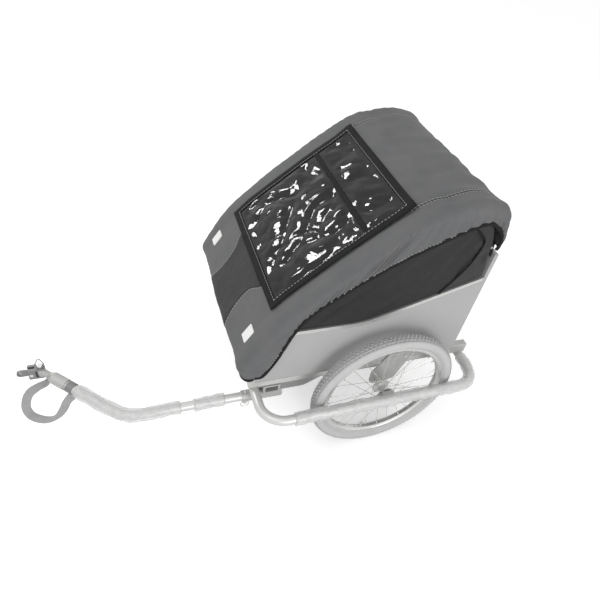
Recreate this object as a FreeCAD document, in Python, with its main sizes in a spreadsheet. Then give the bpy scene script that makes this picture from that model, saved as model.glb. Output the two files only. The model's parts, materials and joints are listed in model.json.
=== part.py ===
import FreeCAD, Part
import math
import os
import Sketcher

# Child bicycle trailer: a panel box on a steel tube frame, two 20 inch wheels,
# a folding fabric hood with a clear flap, and a towbar with a swivelling hitch.
# Lengths are millimetres. X points forward to the bicycle, Y to the left, Z up.
# Every place below is measured from the middle of the wheels' axle on the floor.

SIZES = {
    # wheels, 20 inch with a 406 mm rim
    "wheel_radius": 248.0,
    "wheel_track_half": 366.0,
    "tyre_width": 47.0,
    "tyre_wall": 4.0,
    "bead_radius": 203.0,
    "rim_width": 25.0,
    "rim_depth": 15.0,
    "rim_wall": 1.6,
    "rim_flange": 6.0,
    "hub_half": 24.0,
    "hub_radius": 17.0,
    "hub_flange_radius": 29.0,
    "hub_flange_at": 18.0,
    "hub_flange_wall": 3.0,
    "axle_radius": 6.0,
    "axle_clearance": 0.04,
    "axle_end_gap": 0.3,
    "bearing_radius": 14.0,
    "bearing_width": 8.0,
    "spoke_radius": 1.0,
    "spoke_circle": 25.0,
    "spoke_count": 7.0,
    "spoke_sweep": 62.0,
    "valve_radius": 3.0,
    "valve_length": 34.0,
    "valve_turn": 167.14,
    # guard tube round the trailer
    "guard_half_width": 415.0,
    "guard_front": 410.0,
    "guard_rear": 343.0,
    "guard_height": 259.0,
    "guard_bend": 75.0,
    "guard_radius": 15.0,
    "tube_wall": 2.0,
    # frame below the box
    "rail_middle": 272.0,
    "rail_width": 25.0,
    "rail_front": 428.0,
    "beam_behind": 47.0,
    "beam_width": 30.0,
    "beam_depth": 25.0,
    "plate_wall": 5.0,
    "plate_offset": 1.6,
    "lug_wall": 4.0,
    "nut_flats": 17.0,
    "nut_depth": 3.8,
    "bolt_radius": 3.0,
    "bolt_head_radius": 6.5,
    "bolt_head_depth": 4.0,
    "bolt_gap": 0.1,
    # box of panels
    "box_half_width": 308.0,
    "box_front": 436.0,
    "box_rear": 272.0,
    "box_bottom": 311.0,
    "panel_wall": 12.0,
    "rear_wall": 14.0,
    "front_panel_top": 386.0,
    "side_front_top": 400.0,
    "side_top": 522.0,
    "side_top_front": 324.0,
    "side_top_bend": 100.0,
    "side_rear_top": 648.0,
    "rear_top": 735.0,
    "rear_lean": 16.0,
    "trim_wall": 1.5,
    "trim_depth": 10.0,
    "angle_leg": 17.0,
    # foot well
    "well_front": 375.0,
    "well_rear": 130.0,
    "well_half_width": 240.0,
    "well_bottom": 183.0,
    "well_wall": 3.0,
    "well_lip": 12.0,
    # seat
    "seat_front": 110.0,
    "seat_rear": 196.0,
    "seat_height": 430.0,
    "seat_wall": 12.0,
    "cushion_depth": 34.0,
    "cushion_half_width": 268.0,
    "soft_gap": 0.3,
    # hood
    "hinge_behind": 262.0,
    "hinge_height": 752.0,
    "hinge_pin_radius": 4.0,
    "hinge_eye_radius": 9.0,
    "hoop_radius": 6.0,
    "hoop_half_width": 286.0,
    "screen_half_width": 304.0,
    "hood_half_width": 318.0,
    "hood_edge_radius": 31.0,
    "fabric": 2.5,
    "flap_half_width": 245.0,
    "flap_border": 22.0,
    "flap_divider_at": 0.70,
    "window_half_width": 205.0,
    "sheet_wall": 1.0,
    "border_wall": 2.5,
    # towbar and socket
    "towbar_radius": 14.0,
    "towbar_start": 318.0,
    "towbar_corner": 784.0,
    "towbar_bend": 95.0,
    "socket_radius": 18.0,
    "socket_gap": 0.3,
    "socket_start": 322.0,
    "socket_end": 447.0,
    "fit_clearance": 0.05,
    "lock_pin_radius": 4.0,
    "lock_pin_at": 435.0,
    # hitch at the bicycle end
    "hitch_ahead": 992.0,
    "hitch_left": 87.0,
    "hitch_height": 270.0,
    "barrel_radius": 12.0,
    "barrel_half": 13.0,
    "sleeve_radius": 17.5,
    "sleeve_length": 48.0,
    "neck_length": 38.0,
    "hitch_pin_radius": 5.0,
    "ear_wall": 5.0,
    "ear_gap": 0.3,
    "pitch_ahead": 24.0,
    "pitch_pin_radius": 3.5,
    "arm_half_wall": 3.8,
    "arm_end": 9.0,
    "arm_reach": 29.0,
    "arm_bore_radius": 5.2,
    # safety strap
    "strap_width": 25.0,
    "strap_wall": 1.8,
}


class Size:
    """A length and the spreadsheet expression that gives it."""

    def __init__(self, value, text):
        self.value = float(value)
        self.text = text

    def joined(self, other, sign, value):
        return Size(value, "(" + self.text + " " + sign + " " + other.text + ")")

    def __add__(self, other):
        other = size(other)
        return self.joined(other, "+", self.value + other.value)

    def __sub__(self, other):
        other = size(other)
        return self.joined(other, "-", self.value - other.value)

    def __mul__(self, other):
        other = size(other)
        return self.joined(other, "*", self.value * other.value)

    def __truediv__(self, other):
        other = size(other)
        return self.joined(other, "/", self.value / other.value)

    def __neg__(self):
        return Size(-self.value, "(0 - " + self.text + ")")

    def __radd__(self, other):
        return size(other) + self

    def __rsub__(self, other):
        return size(other) - self

    def __rmul__(self, other):
        return size(other) * self


def size(item):
    if isinstance(item, Size):
        return item
    return Size(item, "(" + repr(float(item)) + ")")


class Sheet:
    """The driving dimensions, each an aliased cell with a plain number."""

    def __init__(self, document, values):
        self.sheet = document.addObject("Spreadsheet::Sheet", "dims")
        self.values = dict(values)
        for row, (alias, value) in enumerate(values.items(), start=1):
            self.sheet.set("A" + str(row), alias.replace("_", " "))
            self.sheet.set("B" + str(row), str(value))
            self.sheet.setAlias("B" + str(row), alias)

    def __getattr__(self, alias):
        return Size(self.values[alias], "dims." + alias)


doc = FreeCAD.newDocument("trailer")
dims = Sheet(doc, SIZES)
doc.recompute()

V = FreeCAD.Vector
pieces = []

# The frame's origin lies under the middle of the whole trailer.
front_reach = dims.hitch_ahead + dims.pitch_ahead + dims.arm_reach + dims.arm_end
rear_reach = dims.guard_rear + dims.guard_radius
axle_x = (rear_reach - front_reach) / 2


def bind(thing, path, amount):
    thing.setExpression(path, size(amount).text)


def place(thing, x=0, y=0, z=0):
    bind(thing, "Placement.Base.x", axle_x + x)
    bind(thing, "Placement.Base.y", y)
    bind(thing, "Placement.Base.z", z)


def keep(thing, label):
    thing.Label = label
    pieces.append(thing)
    return thing


def new_body(label, x=0, y=0, z=0):
    body = keep(doc.addObject("PartDesign::Body", label), label)
    place(body, x, y, z)
    return body


def origin_part(body, role):
    for feature in body.Origin.OriginFeatures:
        if feature.Role == role:
            return feature
    raise ValueError("no origin feature " + role)


def sketch_on(body, role, offset=0):
    sketch = body.newObject("Sketcher::SketchObject", body.Name + "_sketch")
    sketch.AttachmentSupport = [(origin_part(body, role), "")]
    sketch.MapMode = "FlatFace"
    bind(sketch, "AttachmentOffset.Base.z", offset)
    return sketch


def fix_point(sketch, geometry, end, spot):
    for kind, amount in zip(("DistanceX", "DistanceY"), spot):
        number = sketch.addConstraint(Sketcher.Constraint(kind, -1, 1, geometry, end, amount.value))
        bind(sketch, "Constraints[" + str(number) + "]", amount)


def draw(sketch, corners, closed=True):
    """Draw lines through (across, up) corners; a third number rounds the corner."""
    count = len(corners)
    spots = [(size(corner[0]), size(corner[1])) for corner in corners]
    radii = [size(corner[2]) if len(corner) > 2 else None for corner in corners]
    at = [V(spot[0].value, spot[1].value, 0) for spot in spots]

    def towards(start, end):
        step = at[end] - at[start]
        return step / step.Length

    def trimmed(here, other):
        if radii[here] is None:
            return at[here]
        first = towards(here, (here - 1) % count)
        second = towards(here, (here + 1) % count)
        reach = radii[here].value / math.tan(first.getAngle(second) / 2)
        return at[here] + towards(here, other) * reach

    runs = count if closed else count - 1
    lines = []
    for i in range(runs):
        j = (i + 1) % count
        lines.append(sketch.addGeometry(Part.LineSegment(trimmed(i, j), trimmed(j, i)), False))
    for i in range(count):
        if not closed and i == 0:
            fix_point(sketch, lines[0], 1, spots[0])
            continue
        if not closed and i == count - 1:
            fix_point(sketch, lines[-1], 2, spots[-1])
            continue
        before = lines[i - 1]
        after = lines[i]
        if radii[i] is None:
            sketch.addConstraint(Sketcher.Constraint("Coincident", before, 2, after, 1))
            fix_point(sketch, after, 1, spots[i])
            continue
        start = trimmed(i, (i - 1) % count)
        end = trimmed(i, (i + 1) % count)
        middle = (towards(i, (i - 1) % count) + towards(i, (i + 1) % count)).normalize()
        half = math.asin((start - end).Length / 2 / radii[i].value)
        depth = radii[i].value / math.cos(half) - radii[i].value
        arc = sketch.addGeometry(Part.Arc(start, at[i] + middle * depth, end), False)
        flipped = (sketch.getPoint(arc, 1) - start).Length > 1e-6
        first, second = (2, 1) if flipped else (1, 2)
        corner = sketch.addGeometry(Part.Point(at[i]), True)
        fix_point(sketch, corner, 1, spots[i])
        sketch.addConstraint(Sketcher.Constraint("PointOnObject", corner, 1, before))
        sketch.addConstraint(Sketcher.Constraint("PointOnObject", corner, 1, after))
        sketch.addConstraint(Sketcher.Constraint("Tangent", before, 2, arc, first))
        sketch.addConstraint(Sketcher.Constraint("Tangent", arc, second, after, 1))
        number = sketch.addConstraint(Sketcher.Constraint("Radius", arc, radii[i].value))
        bind(sketch, "Constraints[" + str(number) + "]", radii[i])
    return sketch


def circle(sketch, across, up, radius):
    centre = (size(across), size(up))
    radius = size(radius)
    shape = Part.Circle(V(centre[0].value, centre[1].value, 0), V(0, 0, 1), radius.value)
    geometry = sketch.addGeometry(shape, False)
    fix_point(sketch, geometry, 3, centre)
    number = sketch.addConstraint(Sketcher.Constraint("Radius", geometry, radius.value))
    bind(sketch, "Constraints[" + str(number) + "]", radius)
    return sketch


def rectangle(sketch, left, low, right, high, corner=None):
    spots = [(left, low), (right, low), (right, high), (left, high)]
    if corner is not None:
        spots = [spot + (corner,) for spot in spots]
    return draw(sketch, spots)


def feature(body, kind, sketch, length, midplane=False):
    thing = body.newObject("PartDesign::" + kind, body.Name + "_" + kind.lower())
    thing.Profile = sketch
    bind(thing, "Length", length)
    if midplane:
        thing.SideType = "Symmetric"
    body.Tip = thing
    return thing


def pad(body, sketch, length, midplane=False):
    return feature(body, "Pad", sketch, length, midplane)


def pocket(body, sketch, length, midplane=False):
    return feature(body, "Pocket", sketch, length, midplane)


def revolve(body, sketch, axis):
    turned = body.newObject("PartDesign::Revolution", body.Name + "_revolution")
    turned.Profile = sketch
    turned.ReferenceAxis = (origin_part(body, axis), [""])
    turned.Angle = 360
    body.Tip = turned
    return turned


def sweep(body, spine, sections, kind="AdditivePipe"):
    swept = body.newObject("PartDesign::" + kind, body.Name + "_sweep")
    swept.Profile = sections[0]
    swept.Spine = spine
    body.Tip = swept
    return swept


def slab(label, corners, low, high, holes=(), **spot):
    """A panel drawn in the XZ plane, from Y = low to Y = high."""
    low = size(low)
    high = size(high)
    body = new_body(label, **spot)
    sketch = sketch_on(body, "XZ_Plane", -high)
    draw(sketch, corners)
    for across, up, radius in holes:
        circle(sketch, across, up, radius)
    pad(body, sketch, high - low)
    return body


def both_sides(side, low, high):
    """The same span of Y on the left (side 1) or mirrored on the right (side -1)."""
    if side > 0:
        return size(low), size(high)
    return -size(high), -size(low)


SIDES = (("left", 1), ("right", -1))


# wheels

def tyre(name, side):
    body = new_body("tyre_" + name, 0, dims.wheel_track_half * side, dims.wheel_radius)
    sketch = sketch_on(body, "YZ_Plane")
    half = dims.tyre_width / 2
    bead = dims.rim_width / 2
    crown = dims.wheel_radius
    foot = dims.bead_radius + dims.rim_flange + 0.2
    inner = crown - dims.tyre_wall
    draw(sketch, [
        (-bead, foot), (-half, foot + 13, 12), (-half + 5, crown - 6, 12), (0, crown, 30),
        (half - 5, crown - 6, 12), (half, foot + 13, 12), (bead, foot), (bead - 3, foot),
        (half - dims.tyre_wall, foot + 13), (half - dims.tyre_wall - 6, inner - 3),
        (dims.tyre_wall - half + 6, inner - 3), (dims.tyre_wall - half, foot + 13),
        (3 - bead, foot),
    ])
    revolve(body, sketch, "Y_Axis")


def turn_to_valve(body):
    """Turn a piece about the wheel's axis so that the valve falls between two spokes."""
    turn = FreeCAD.Rotation(V(0, 1, 0), dims.valve_turn.value)
    body.Placement = FreeCAD.Placement(body.Placement.Base, turn)


def rim(name, side):
    body = new_body("rim_" + name, 0, dims.wheel_track_half * side, dims.wheel_radius)
    sketch = sketch_on(body, "YZ_Plane")
    half = dims.rim_width / 2
    top = dims.bead_radius + dims.rim_flange
    bed = dims.bead_radius
    base = dims.bead_radius + dims.rim_flange - dims.rim_depth
    wall = dims.rim_wall
    draw(sketch, [
        (-half, top), (-half, base + 5, 4), (-half + 7, base), (half - 7, base),
        (half, base + 5, 4), (half, top), (half - wall, top), (half - wall, bed),
        (4, bed - 2), (-4, bed - 2), (wall - half, bed), (wall - half, top),
    ])
    revolve(body, sketch, "Y_Axis")
    hole = sketch_on(body, "XY_Plane", base - 2)
    circle(hole, 0, 0, dims.valve_radius + 0.4)
    cut = pocket(body, hole, dims.rim_depth + 4)
    cut.Reversed = True
    turn_to_valve(body)


def spokes(name, side):
    """Crossed spokes: two leave each face of both flanges, then repeat round the hub."""
    end = (dims.bead_radius + dims.rim_flange - dims.rim_depth).value - 0.4
    repeats = round(dims.spoke_count.value)
    pitch = 90 / repeats
    radius = dims.spoke_radius.value
    circle_radius = dims.spoke_circle.value
    solids = []
    for number in range(4 * repeats):
        flange = 1 if number % 2 == 0 else -1
        lead = 1 if number % 4 < 2 else -1
        rim_angle = math.radians((number + 0.5) * pitch)
        hub_angle = rim_angle + lead * math.radians(dims.spoke_sweep.value)
        stand = dims.hub_flange_wall.value / 2 + radius + (0.6 if lead > 0 else 0.1)
        hub_y = (dims.hub_flange_at.value + stand * lead) * flange
        start = V(circle_radius * math.cos(hub_angle), hub_y, circle_radius * math.sin(hub_angle))
        stop = V(end * math.cos(rim_angle), 3.0 * flange, end * math.sin(rim_angle))
        way = stop - start
        solids.append(Part.makeCylinder(radius, way.Length, start, way))
    thing = keep(doc.addObject("Part::Feature", "spokes_" + name), "spokes_" + name)
    thing.Shape = Part.makeCompound(solids)
    place(thing, 0, dims.wheel_track_half * side, dims.wheel_radius)


def hub(name, side):
    body = new_body("hub_" + name, 0, dims.wheel_track_half * side, dims.wheel_radius)
    sketch = sketch_on(body, "YZ_Plane")
    half = dims.hub_half
    seat = dims.hub_half - dims.bearing_width
    outer = dims.hub_radius
    waist = dims.hub_radius - 4
    low = dims.hub_flange_at - dims.hub_flange_wall / 2
    high = dims.hub_flange_at + dims.hub_flange_wall / 2
    bore = dims.axle_radius + 2
    draw(sketch, [
        (-half, dims.bearing_radius), (-half, outer), (-high, outer),
        (-high, dims.hub_flange_radius), (-low, dims.hub_flange_radius), (-low, outer),
        (-low + 5, waist), (low - 5, waist), (low, outer),
        (low, dims.hub_flange_radius), (high, dims.hub_flange_radius), (high, outer),
        (half, outer), (half, dims.bearing_radius), (seat, dims.bearing_radius),
        (seat, bore), (-seat, bore), (-seat, dims.bearing_radius),
    ])
    revolve(body, sketch, "Y_Axis")


def bearings(name, side):
    body = new_body("bearings_" + name, 0, dims.wheel_track_half * side, dims.wheel_radius)
    bore = dims.axle_radius + dims.axle_clearance
    for end in (1, -1):
        sketch = sketch_on(body, "YZ_Plane")
        low, high = both_sides(end, dims.hub_half - dims.bearing_width, dims.hub_half)
        rectangle(sketch, low, bore, high, dims.bearing_radius)
        revolve(body, sketch, "Y_Axis")


def valve(name, side):
    body = new_body("valve_" + name, 0, dims.wheel_track_half * side, dims.wheel_radius)
    sketch = sketch_on(body, "YZ_Plane")
    top = dims.bead_radius + 3
    low = top - dims.valve_length
    radius = dims.valve_radius
    draw(sketch, [
        (0, low), (radius, low), (radius, low + 9), (radius - 0.8, low + 10),
        (radius - 0.8, low + 14), (radius, low + 15), (radius, top), (0, top),
    ])
    revolve(body, sketch, "Z_Axis")
    turn_to_valve(body)


# guard tube and frame

def guard(name, side):
    """Half of the tube ring: along one side, with both bends, to the middle."""
    body = new_body("guard_" + name, 0, 0, dims.guard_height)
    spine = sketch_on(body, "XY_Plane")
    out = dims.guard_half_width * side
    seam = 0.1 * side
    draw(spine, [
        (dims.guard_front, seam), (dims.guard_front, out, dims.guard_bend),
        (-dims.guard_rear, out, dims.guard_bend), (-dims.guard_rear, seam),
    ], closed=False)
    section = sketch_on(body, "XZ_Plane", -seam)
    circle(section, dims.guard_front, 0, dims.guard_radius)
    circle(section, dims.guard_front, 0, dims.guard_radius - dims.tube_wall)
    sweep(body, spine, [section])


def rail(name, side):
    """A box rail below the floor, notched over both cross tubes."""
    low = dims.guard_height + dims.guard_radius - 3
    body = new_body("rail_" + name, 0, dims.rail_middle * side, 0)
    half = dims.rail_width / 2
    start = -dims.guard_rear - dims.guard_radius
    section = sketch_on(body, "YZ_Plane", start)
    rectangle(section, -half, low, half, dims.box_bottom, 3)
    rectangle(section, -half + dims.tube_wall, low + dims.tube_wall,
              half - dims.tube_wall, dims.box_bottom - dims.tube_wall, 1)
    pad(body, section, dims.rail_front - start)
    notch = sketch_on(body, "XZ_Plane")
    circle(notch, dims.guard_front, dims.guard_height, dims.guard_radius + 0.1)
    circle(notch, -dims.guard_rear, dims.guard_height, dims.guard_radius + 0.1)
    pocket(body, notch, dims.rail_width + 2, midplane=True)


def axle_beam():
    high = dims.guard_height + dims.guard_radius - 3
    end = dims.box_half_width + dims.plate_offset
    body = new_body("axle_beam", -dims.beam_behind, 0, 0)
    section = sketch_on(body, "XZ_Plane")
    half = dims.beam_width / 2
    low = high - dims.beam_depth
    rectangle(section, -half, low, half, high, 3)
    rectangle(section, -half + dims.tube_wall, low + dims.tube_wall,
              half - dims.tube_wall, high - dims.tube_wall, 1)
    pad(body, section, end * 2, midplane=True)


BOLTS_X = (-43, -81)
BOLTS_Z = 345


def hub_plate(name, side):
    """The pressed plate that carries the wheel's inner axle end."""
    inner = dims.box_half_width + dims.plate_offset
    low, high = both_sides(side, inner, inner + dims.plate_wall)
    centre = dims.wheel_radius
    holes = [(x, BOLTS_Z, dims.bolt_radius + dims.bolt_gap) for x in BOLTS_X]
    holes.append((0, centre, dims.axle_radius + 0.05))
    slab("hub_plate_" + name, [
        (26, centre - 24, 22), (26, centre + 34, 16), (-24, BOLTS_Z + 18, 14),
        (-100, BOLTS_Z + 18, 12), (-100, BOLTS_Z - 24, 14), (-66, centre - 10, 14),
        (-24, centre - 24, 20),
    ], low, high, holes)


def axle_lug(name, side):
    """The plate that ties the outer axle end to the guard tube."""
    inner = dims.wheel_track_half + dims.hub_half + 2
    outer = inner + dims.lug_wall
    low, high = both_sides(side, inner, outer)
    centre = dims.wheel_radius
    top = dims.guard_height + dims.guard_radius + 2
    body = slab("axle_lug_" + name, [
        (-15, centre - 18, 13), (15, centre - 18, 13), (20, top, 5), (-20, top, 5),
    ], low, high, [(0, centre, dims.axle_radius + 0.05)])
    block = sketch_on(body, "XZ_Plane", -high if side > 0 else -low)
    rectangle(block, -20, dims.guard_height + 4, 20, top)
    reach = pad(body, block, dims.guard_half_width - outer - 2)
    reach.Reversed = side > 0
    saddle = sketch_on(body, "YZ_Plane")
    circle(saddle, dims.guard_half_width * side, dims.guard_height, dims.guard_radius + 0.05)
    pocket(body, saddle, 60, midplane=True)


def hexagon(sketch, across, up, flats):
    """A nut outline, its flats level."""
    half = flats / 2
    side = flats * 0.57735
    draw(sketch, [
        (across + side, up), (across + side / 2, up + half), (across - side / 2, up + half),
        (across - side, up), (across - side / 2, up - half), (across + side / 2, up - half),
    ])


def axle(name, side):
    """A fixed axle with a spacer inboard and a nut at each end."""
    plate_in = dims.box_half_width + dims.plate_offset
    plate_out = plate_in + dims.plate_wall
    hub_in = dims.wheel_track_half - dims.hub_half - dims.axle_end_gap
    hub_out = dims.wheel_track_half + dims.hub_half + dims.axle_end_gap
    lug_in = dims.wheel_track_half + dims.hub_half + 2
    lug_out = lug_in + dims.lug_wall
    body = new_body("axle_" + name, 0, 0, dims.wheel_radius)
    sketch = sketch_on(body, "YZ_Plane")
    thin = dims.axle_radius
    thick = dims.axle_radius + 3.5
    profile = [
        (plate_in - 9, 0), (plate_in - 9, thin), (plate_out, thin), (plate_out, thick),
        (hub_in, thick), (hub_in, thin), (hub_out, thin), (hub_out, thick),
        (lug_in, thick), (lug_in, thin), (lug_out + dims.nut_depth, thin),
        (lug_out + dims.nut_depth, 0),
    ]
    draw(sketch, [(across * side, up) for across, up in profile])
    revolve(body, sketch, "Y_Axis")
    for start, end in ((plate_in - 8, plate_in), (lug_out, lug_out + dims.nut_depth)):
        low, high = both_sides(side, start, end)
        nut = sketch_on(body, "XZ_Plane", -high)
        hexagon(nut, 0, 0, dims.nut_flats)
        pad(body, nut, high - low)


def hub_bolts():
    """Screws that hold the hub plates to the box sides."""
    body = new_body("hub_bolts")
    head = dims.box_half_width + dims.plate_offset + dims.plate_wall
    inside = dims.box_half_width - dims.panel_wall
    for side in (1, -1):
        for x in BOLTS_X:
            for radius, start, end in (
                (dims.bolt_head_radius, head, head + dims.bolt_head_depth),
                (dims.bolt_radius, inside - 6, head),
                (dims.bolt_head_radius, inside - 5, inside),
            ):
                low, high = both_sides(side, start, end)
                sketch = sketch_on(body, "XZ_Plane", -high)
                circle(sketch, x, BOLTS_Z, radius)
                pad(body, sketch, high - low)


# box of panels

def rear_face_at(height):
    """X of the rear panel's front face at a height."""
    rise = (height - dims.box_bottom) / (dims.rear_top - dims.box_bottom)
    return dims.rear_wall - dims.box_rear - dims.rear_lean * rise


def side_top_line():
    """The side panels' upper edge from the front upright to the rear panel."""
    return [
        (dims.box_front, dims.side_front_top, 18),
        (dims.side_top_front, dims.side_top, 50),
        (dims.side_top_bend, dims.side_top, 300),
        (rear_face_at(dims.side_rear_top), dims.side_rear_top),
    ]


def side_panel(name, side):
    low, high = both_sides(side, dims.box_half_width - dims.panel_wall, dims.box_half_width)
    corners = [(rear_face_at(dims.box_bottom), dims.box_bottom), (dims.box_front, dims.box_bottom)]
    holes = [(x, BOLTS_Z, dims.bolt_radius + dims.bolt_gap) for x in BOLTS_X]
    slab("tub_" + name, corners + side_top_line(), low, high, holes)


def rear_panel():
    """The rear panel stands above the sides and leans back."""
    foot = rear_face_at(dims.box_bottom)
    head = rear_face_at(dims.rear_top)
    wall = dims.rear_wall
    width = dims.box_half_width
    slab("tub_rear", [
        (foot, dims.box_bottom), (head, dims.rear_top, 3),
        (head - wall, dims.rear_top, 3), (foot - wall, dims.box_bottom),
    ], -width, width)


def floor_and_front():
    inside = dims.box_half_width - dims.panel_wall
    floor = new_body("tub_floor")
    sketch = sketch_on(floor, "XY_Plane", dims.box_bottom)
    foot = rear_face_at(dims.box_bottom)
    rectangle(sketch, foot, -inside, dims.box_front - dims.panel_wall, inside)
    gap = dims.soft_gap
    rectangle(sketch, dims.well_rear - gap, -dims.well_half_width - gap,
              dims.well_front + gap, dims.well_half_width + gap)
    pad(floor, sketch, dims.panel_wall)
    back = dims.box_front - dims.panel_wall
    slab("tub_front", [
        (back, dims.box_bottom), (dims.box_front, dims.box_bottom),
        (dims.box_front, dims.front_panel_top), (back, dims.front_panel_top),
    ], -inside, inside)


def edge_angles():
    """Aluminium angles along the bottom edges and up the front corners."""
    body = new_body("edge_angles")
    wall = dims.trim_wall
    out = dims.box_half_width
    start = rear_face_at(dims.box_bottom) - dims.rear_wall
    for side in (1, -1):
        section = sketch_on(body, "YZ_Plane", start)
        spots = [
            (out - 8, dims.box_bottom - wall), (out + wall, dims.box_bottom - wall),
            (out + wall, dims.box_bottom + dims.angle_leg), (out, dims.box_bottom + dims.angle_leg),
            (out, dims.box_bottom), (out - 8, dims.box_bottom),
        ]
        draw(section, [(across * side, up) for across, up in spots])
        pad(body, section, dims.box_front + wall - start)
        corner = sketch_on(body, "XY_Plane", dims.box_bottom - wall)
        front = dims.box_front
        leg = dims.angle_leg
        spots = [
            (front - leg, out), (front, out), (front, out - leg),
            (front + wall, out - leg), (front + wall, out + wall), (front - leg, out + wall),
        ]
        draw(corner, [(across, up * side) for across, up in spots])
        pad(body, corner, dims.side_front_top - dims.box_bottom - 14)


def top_trims():
    """A light channel pressed over the upper edge of each side panel."""
    body = new_body("top_trims")
    wall = dims.trim_wall
    depth = dims.trim_depth
    for side in (1, -1):
        spine = sketch_on(body, "XZ_Plane", -(dims.box_half_width - dims.panel_wall / 2) * side)
        start = dims.side_front_top - 10
        front = dims.box_front
        line = side_top_line()
        slope = (dims.side_rear_top - dims.side_top) / (dims.side_top_bend - line[-1][0])
        line[-1] = (line[-1][0] + 3, dims.side_rear_top - slope * 3)
        draw(spine, [(front, start)] + line, closed=False)
        section = sketch_on(body, "XY_Plane", start)
        inner = dims.box_half_width - dims.panel_wall
        outer = dims.box_half_width
        spots = [
            (front - depth, inner - wall), (front + wall, inner - wall),
            (front + wall, outer + wall), (front - depth, outer + wall),
            (front - depth, outer), (front, outer), (front, inner), (front - depth, inner),
        ]
        draw(section, [(across, up * side) for across, up in spots])
        sweep(body, spine, [section])


def foot_well():
    """The moulded well for the children's feet, hung in the floor."""
    top = dims.box_bottom + dims.panel_wall + dims.well_wall
    front = dims.well_front
    rear = dims.well_rear
    low = dims.well_bottom
    wall = dims.well_wall
    body = new_body("foot_well")
    outer = sketch_on(body, "XZ_Plane")
    draw(outer, [
        (front, top), (front - 4, low, 22), (rear + 96, low, 60), (rear + 6, low + 52, 40),
        (rear, top),
    ])
    pad(body, outer, dims.well_half_width * 2, midplane=True)
    lip = sketch_on(body, "XY_Plane", top - wall)
    rectangle(lip, rear - dims.well_lip, -dims.well_half_width - dims.well_lip,
              front + dims.well_lip, dims.well_half_width + dims.well_lip, 20)
    pad(body, lip, wall)
    inner = sketch_on(body, "XZ_Plane")
    draw(inner, [
        (front - wall, top + 5), (front - 4 - wall, low + wall, 19), (rear + 97, low + wall, 57),
        (rear + 6 + wall, low + 54, 37), (rear + wall, top + 5),
    ])
    pocket(body, inner, (dims.well_half_width - wall) * 2, midplane=True)


# seat

def seat_board():
    """A bench with its front riser."""
    wall = dims.seat_wall
    floor = dims.box_bottom + dims.panel_wall
    inside = dims.box_half_width - dims.panel_wall
    slab("seat_board", [
        (dims.seat_front - wall, floor), (dims.seat_front, floor),
        (dims.seat_front, dims.seat_height + wall, 4), (-dims.seat_rear, dims.seat_height + wall),
        (-dims.seat_rear, dims.seat_height), (dims.seat_front - wall, dims.seat_height),
    ], -inside, inside)


def pillow(label, length, width, depth, base, turn):
    """A cushion with a crowned top and drawn-in sides, lofted across the seat."""
    half = width.value / 2
    span = length.value
    thick = depth.value
    rings = []
    for share in (-1.0, -0.94, -0.7, -0.28, 0.28, 0.7, 0.94, 1.0):
        edge = abs(share)
        squeeze = 0.0 if edge < 0.5 else (edge - 0.5) * 2
        rise = thick * (1 - 0.42 * squeeze ** 3)
        draw_in = 7.0 * squeeze ** 2
        y = half * share
        low = 0.0 + 0.12 * thick * squeeze ** 3
        spots = [
            V(draw_in, y, low + 6), V(draw_in - 1, y, low + (rise - low) * 0.55),
            V(draw_in + span * 0.14, y, rise - 3), V(span * 0.5, y, rise),
            V(span * 0.86 - draw_in, y, rise - 3), V(span - draw_in + 1, y, low + (rise - low) * 0.55),
            V(span - draw_in, y, low + 6), V(span - draw_in - 10, y, low), V(draw_in + 10, y, low),
        ]
        edges = [
            Part.makeLine(spots[0], spots[1]), Part.makeLine(spots[1], spots[2]),
            Part.Arc(spots[2], spots[3], spots[4]).toShape(),
            Part.makeLine(spots[4], spots[5]), Part.makeLine(spots[5], spots[6]),
            Part.makeLine(spots[6], spots[7]), Part.makeLine(spots[7], spots[8]),
            Part.makeLine(spots[8], spots[0]),
        ]
        rings.append(Part.Wire(edges))
    solid = Part.makeLoft(rings, True, True)
    thing = keep(doc.addObject("Part::Feature", label), label)
    thing.Shape = solid
    thing.Placement = FreeCAD.Placement(V(axle_x.value, 0, 0) + base, turn)
    return thing


def cushions():
    gap = dims.soft_gap.value
    top = (dims.seat_height + dims.seat_wall).value + gap
    length = dims.seat_front + dims.seat_rear - 36
    width = dims.cushion_half_width * 2
    spot = V(-dims.seat_rear.value + 30, 0, top)
    pillow("seat_cushion", length, width, dims.cushion_depth, spot, FreeCAD.Rotation())
    foot = top + dims.cushion_depth.value + 8
    lean = math.atan(dims.rear_lean.value / (dims.rear_top - dims.box_bottom).value)
    up = V(-math.sin(lean), 0, math.cos(lean))
    ahead = V(math.cos(lean), 0, math.sin(lean))
    base = V(rear_face_at(size(foot)).value + gap + 0.1, 0, foot)
    turn = FreeCAD.Rotation(up, V(0, -1, 0), ahead, "XZY")
    pillow("back_cushion", dims.rear_top - foot - 14, width, dims.cushion_depth, base, turn)


def harness_straps():
    """Shoulder webbing over each seat back, down to the cushion."""
    body = new_body("harness_straps")
    gap = dims.cushion_depth + 0.6
    foot = dims.seat_height + dims.seat_wall + dims.cushion_depth + 24
    head = dims.rear_top - 30
    for middle in (-165, -80, 80, 165):
        sketch = sketch_on(body, "XZ_Plane", -(size(middle) + 12.5))
        low = rear_face_at(foot) + gap
        high = rear_face_at(head) + gap
        draw(sketch, [(low, foot), (low + 2, foot), (high + 2, head), (high, head)])
        pad(body, sketch, 25)


# hood

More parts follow.
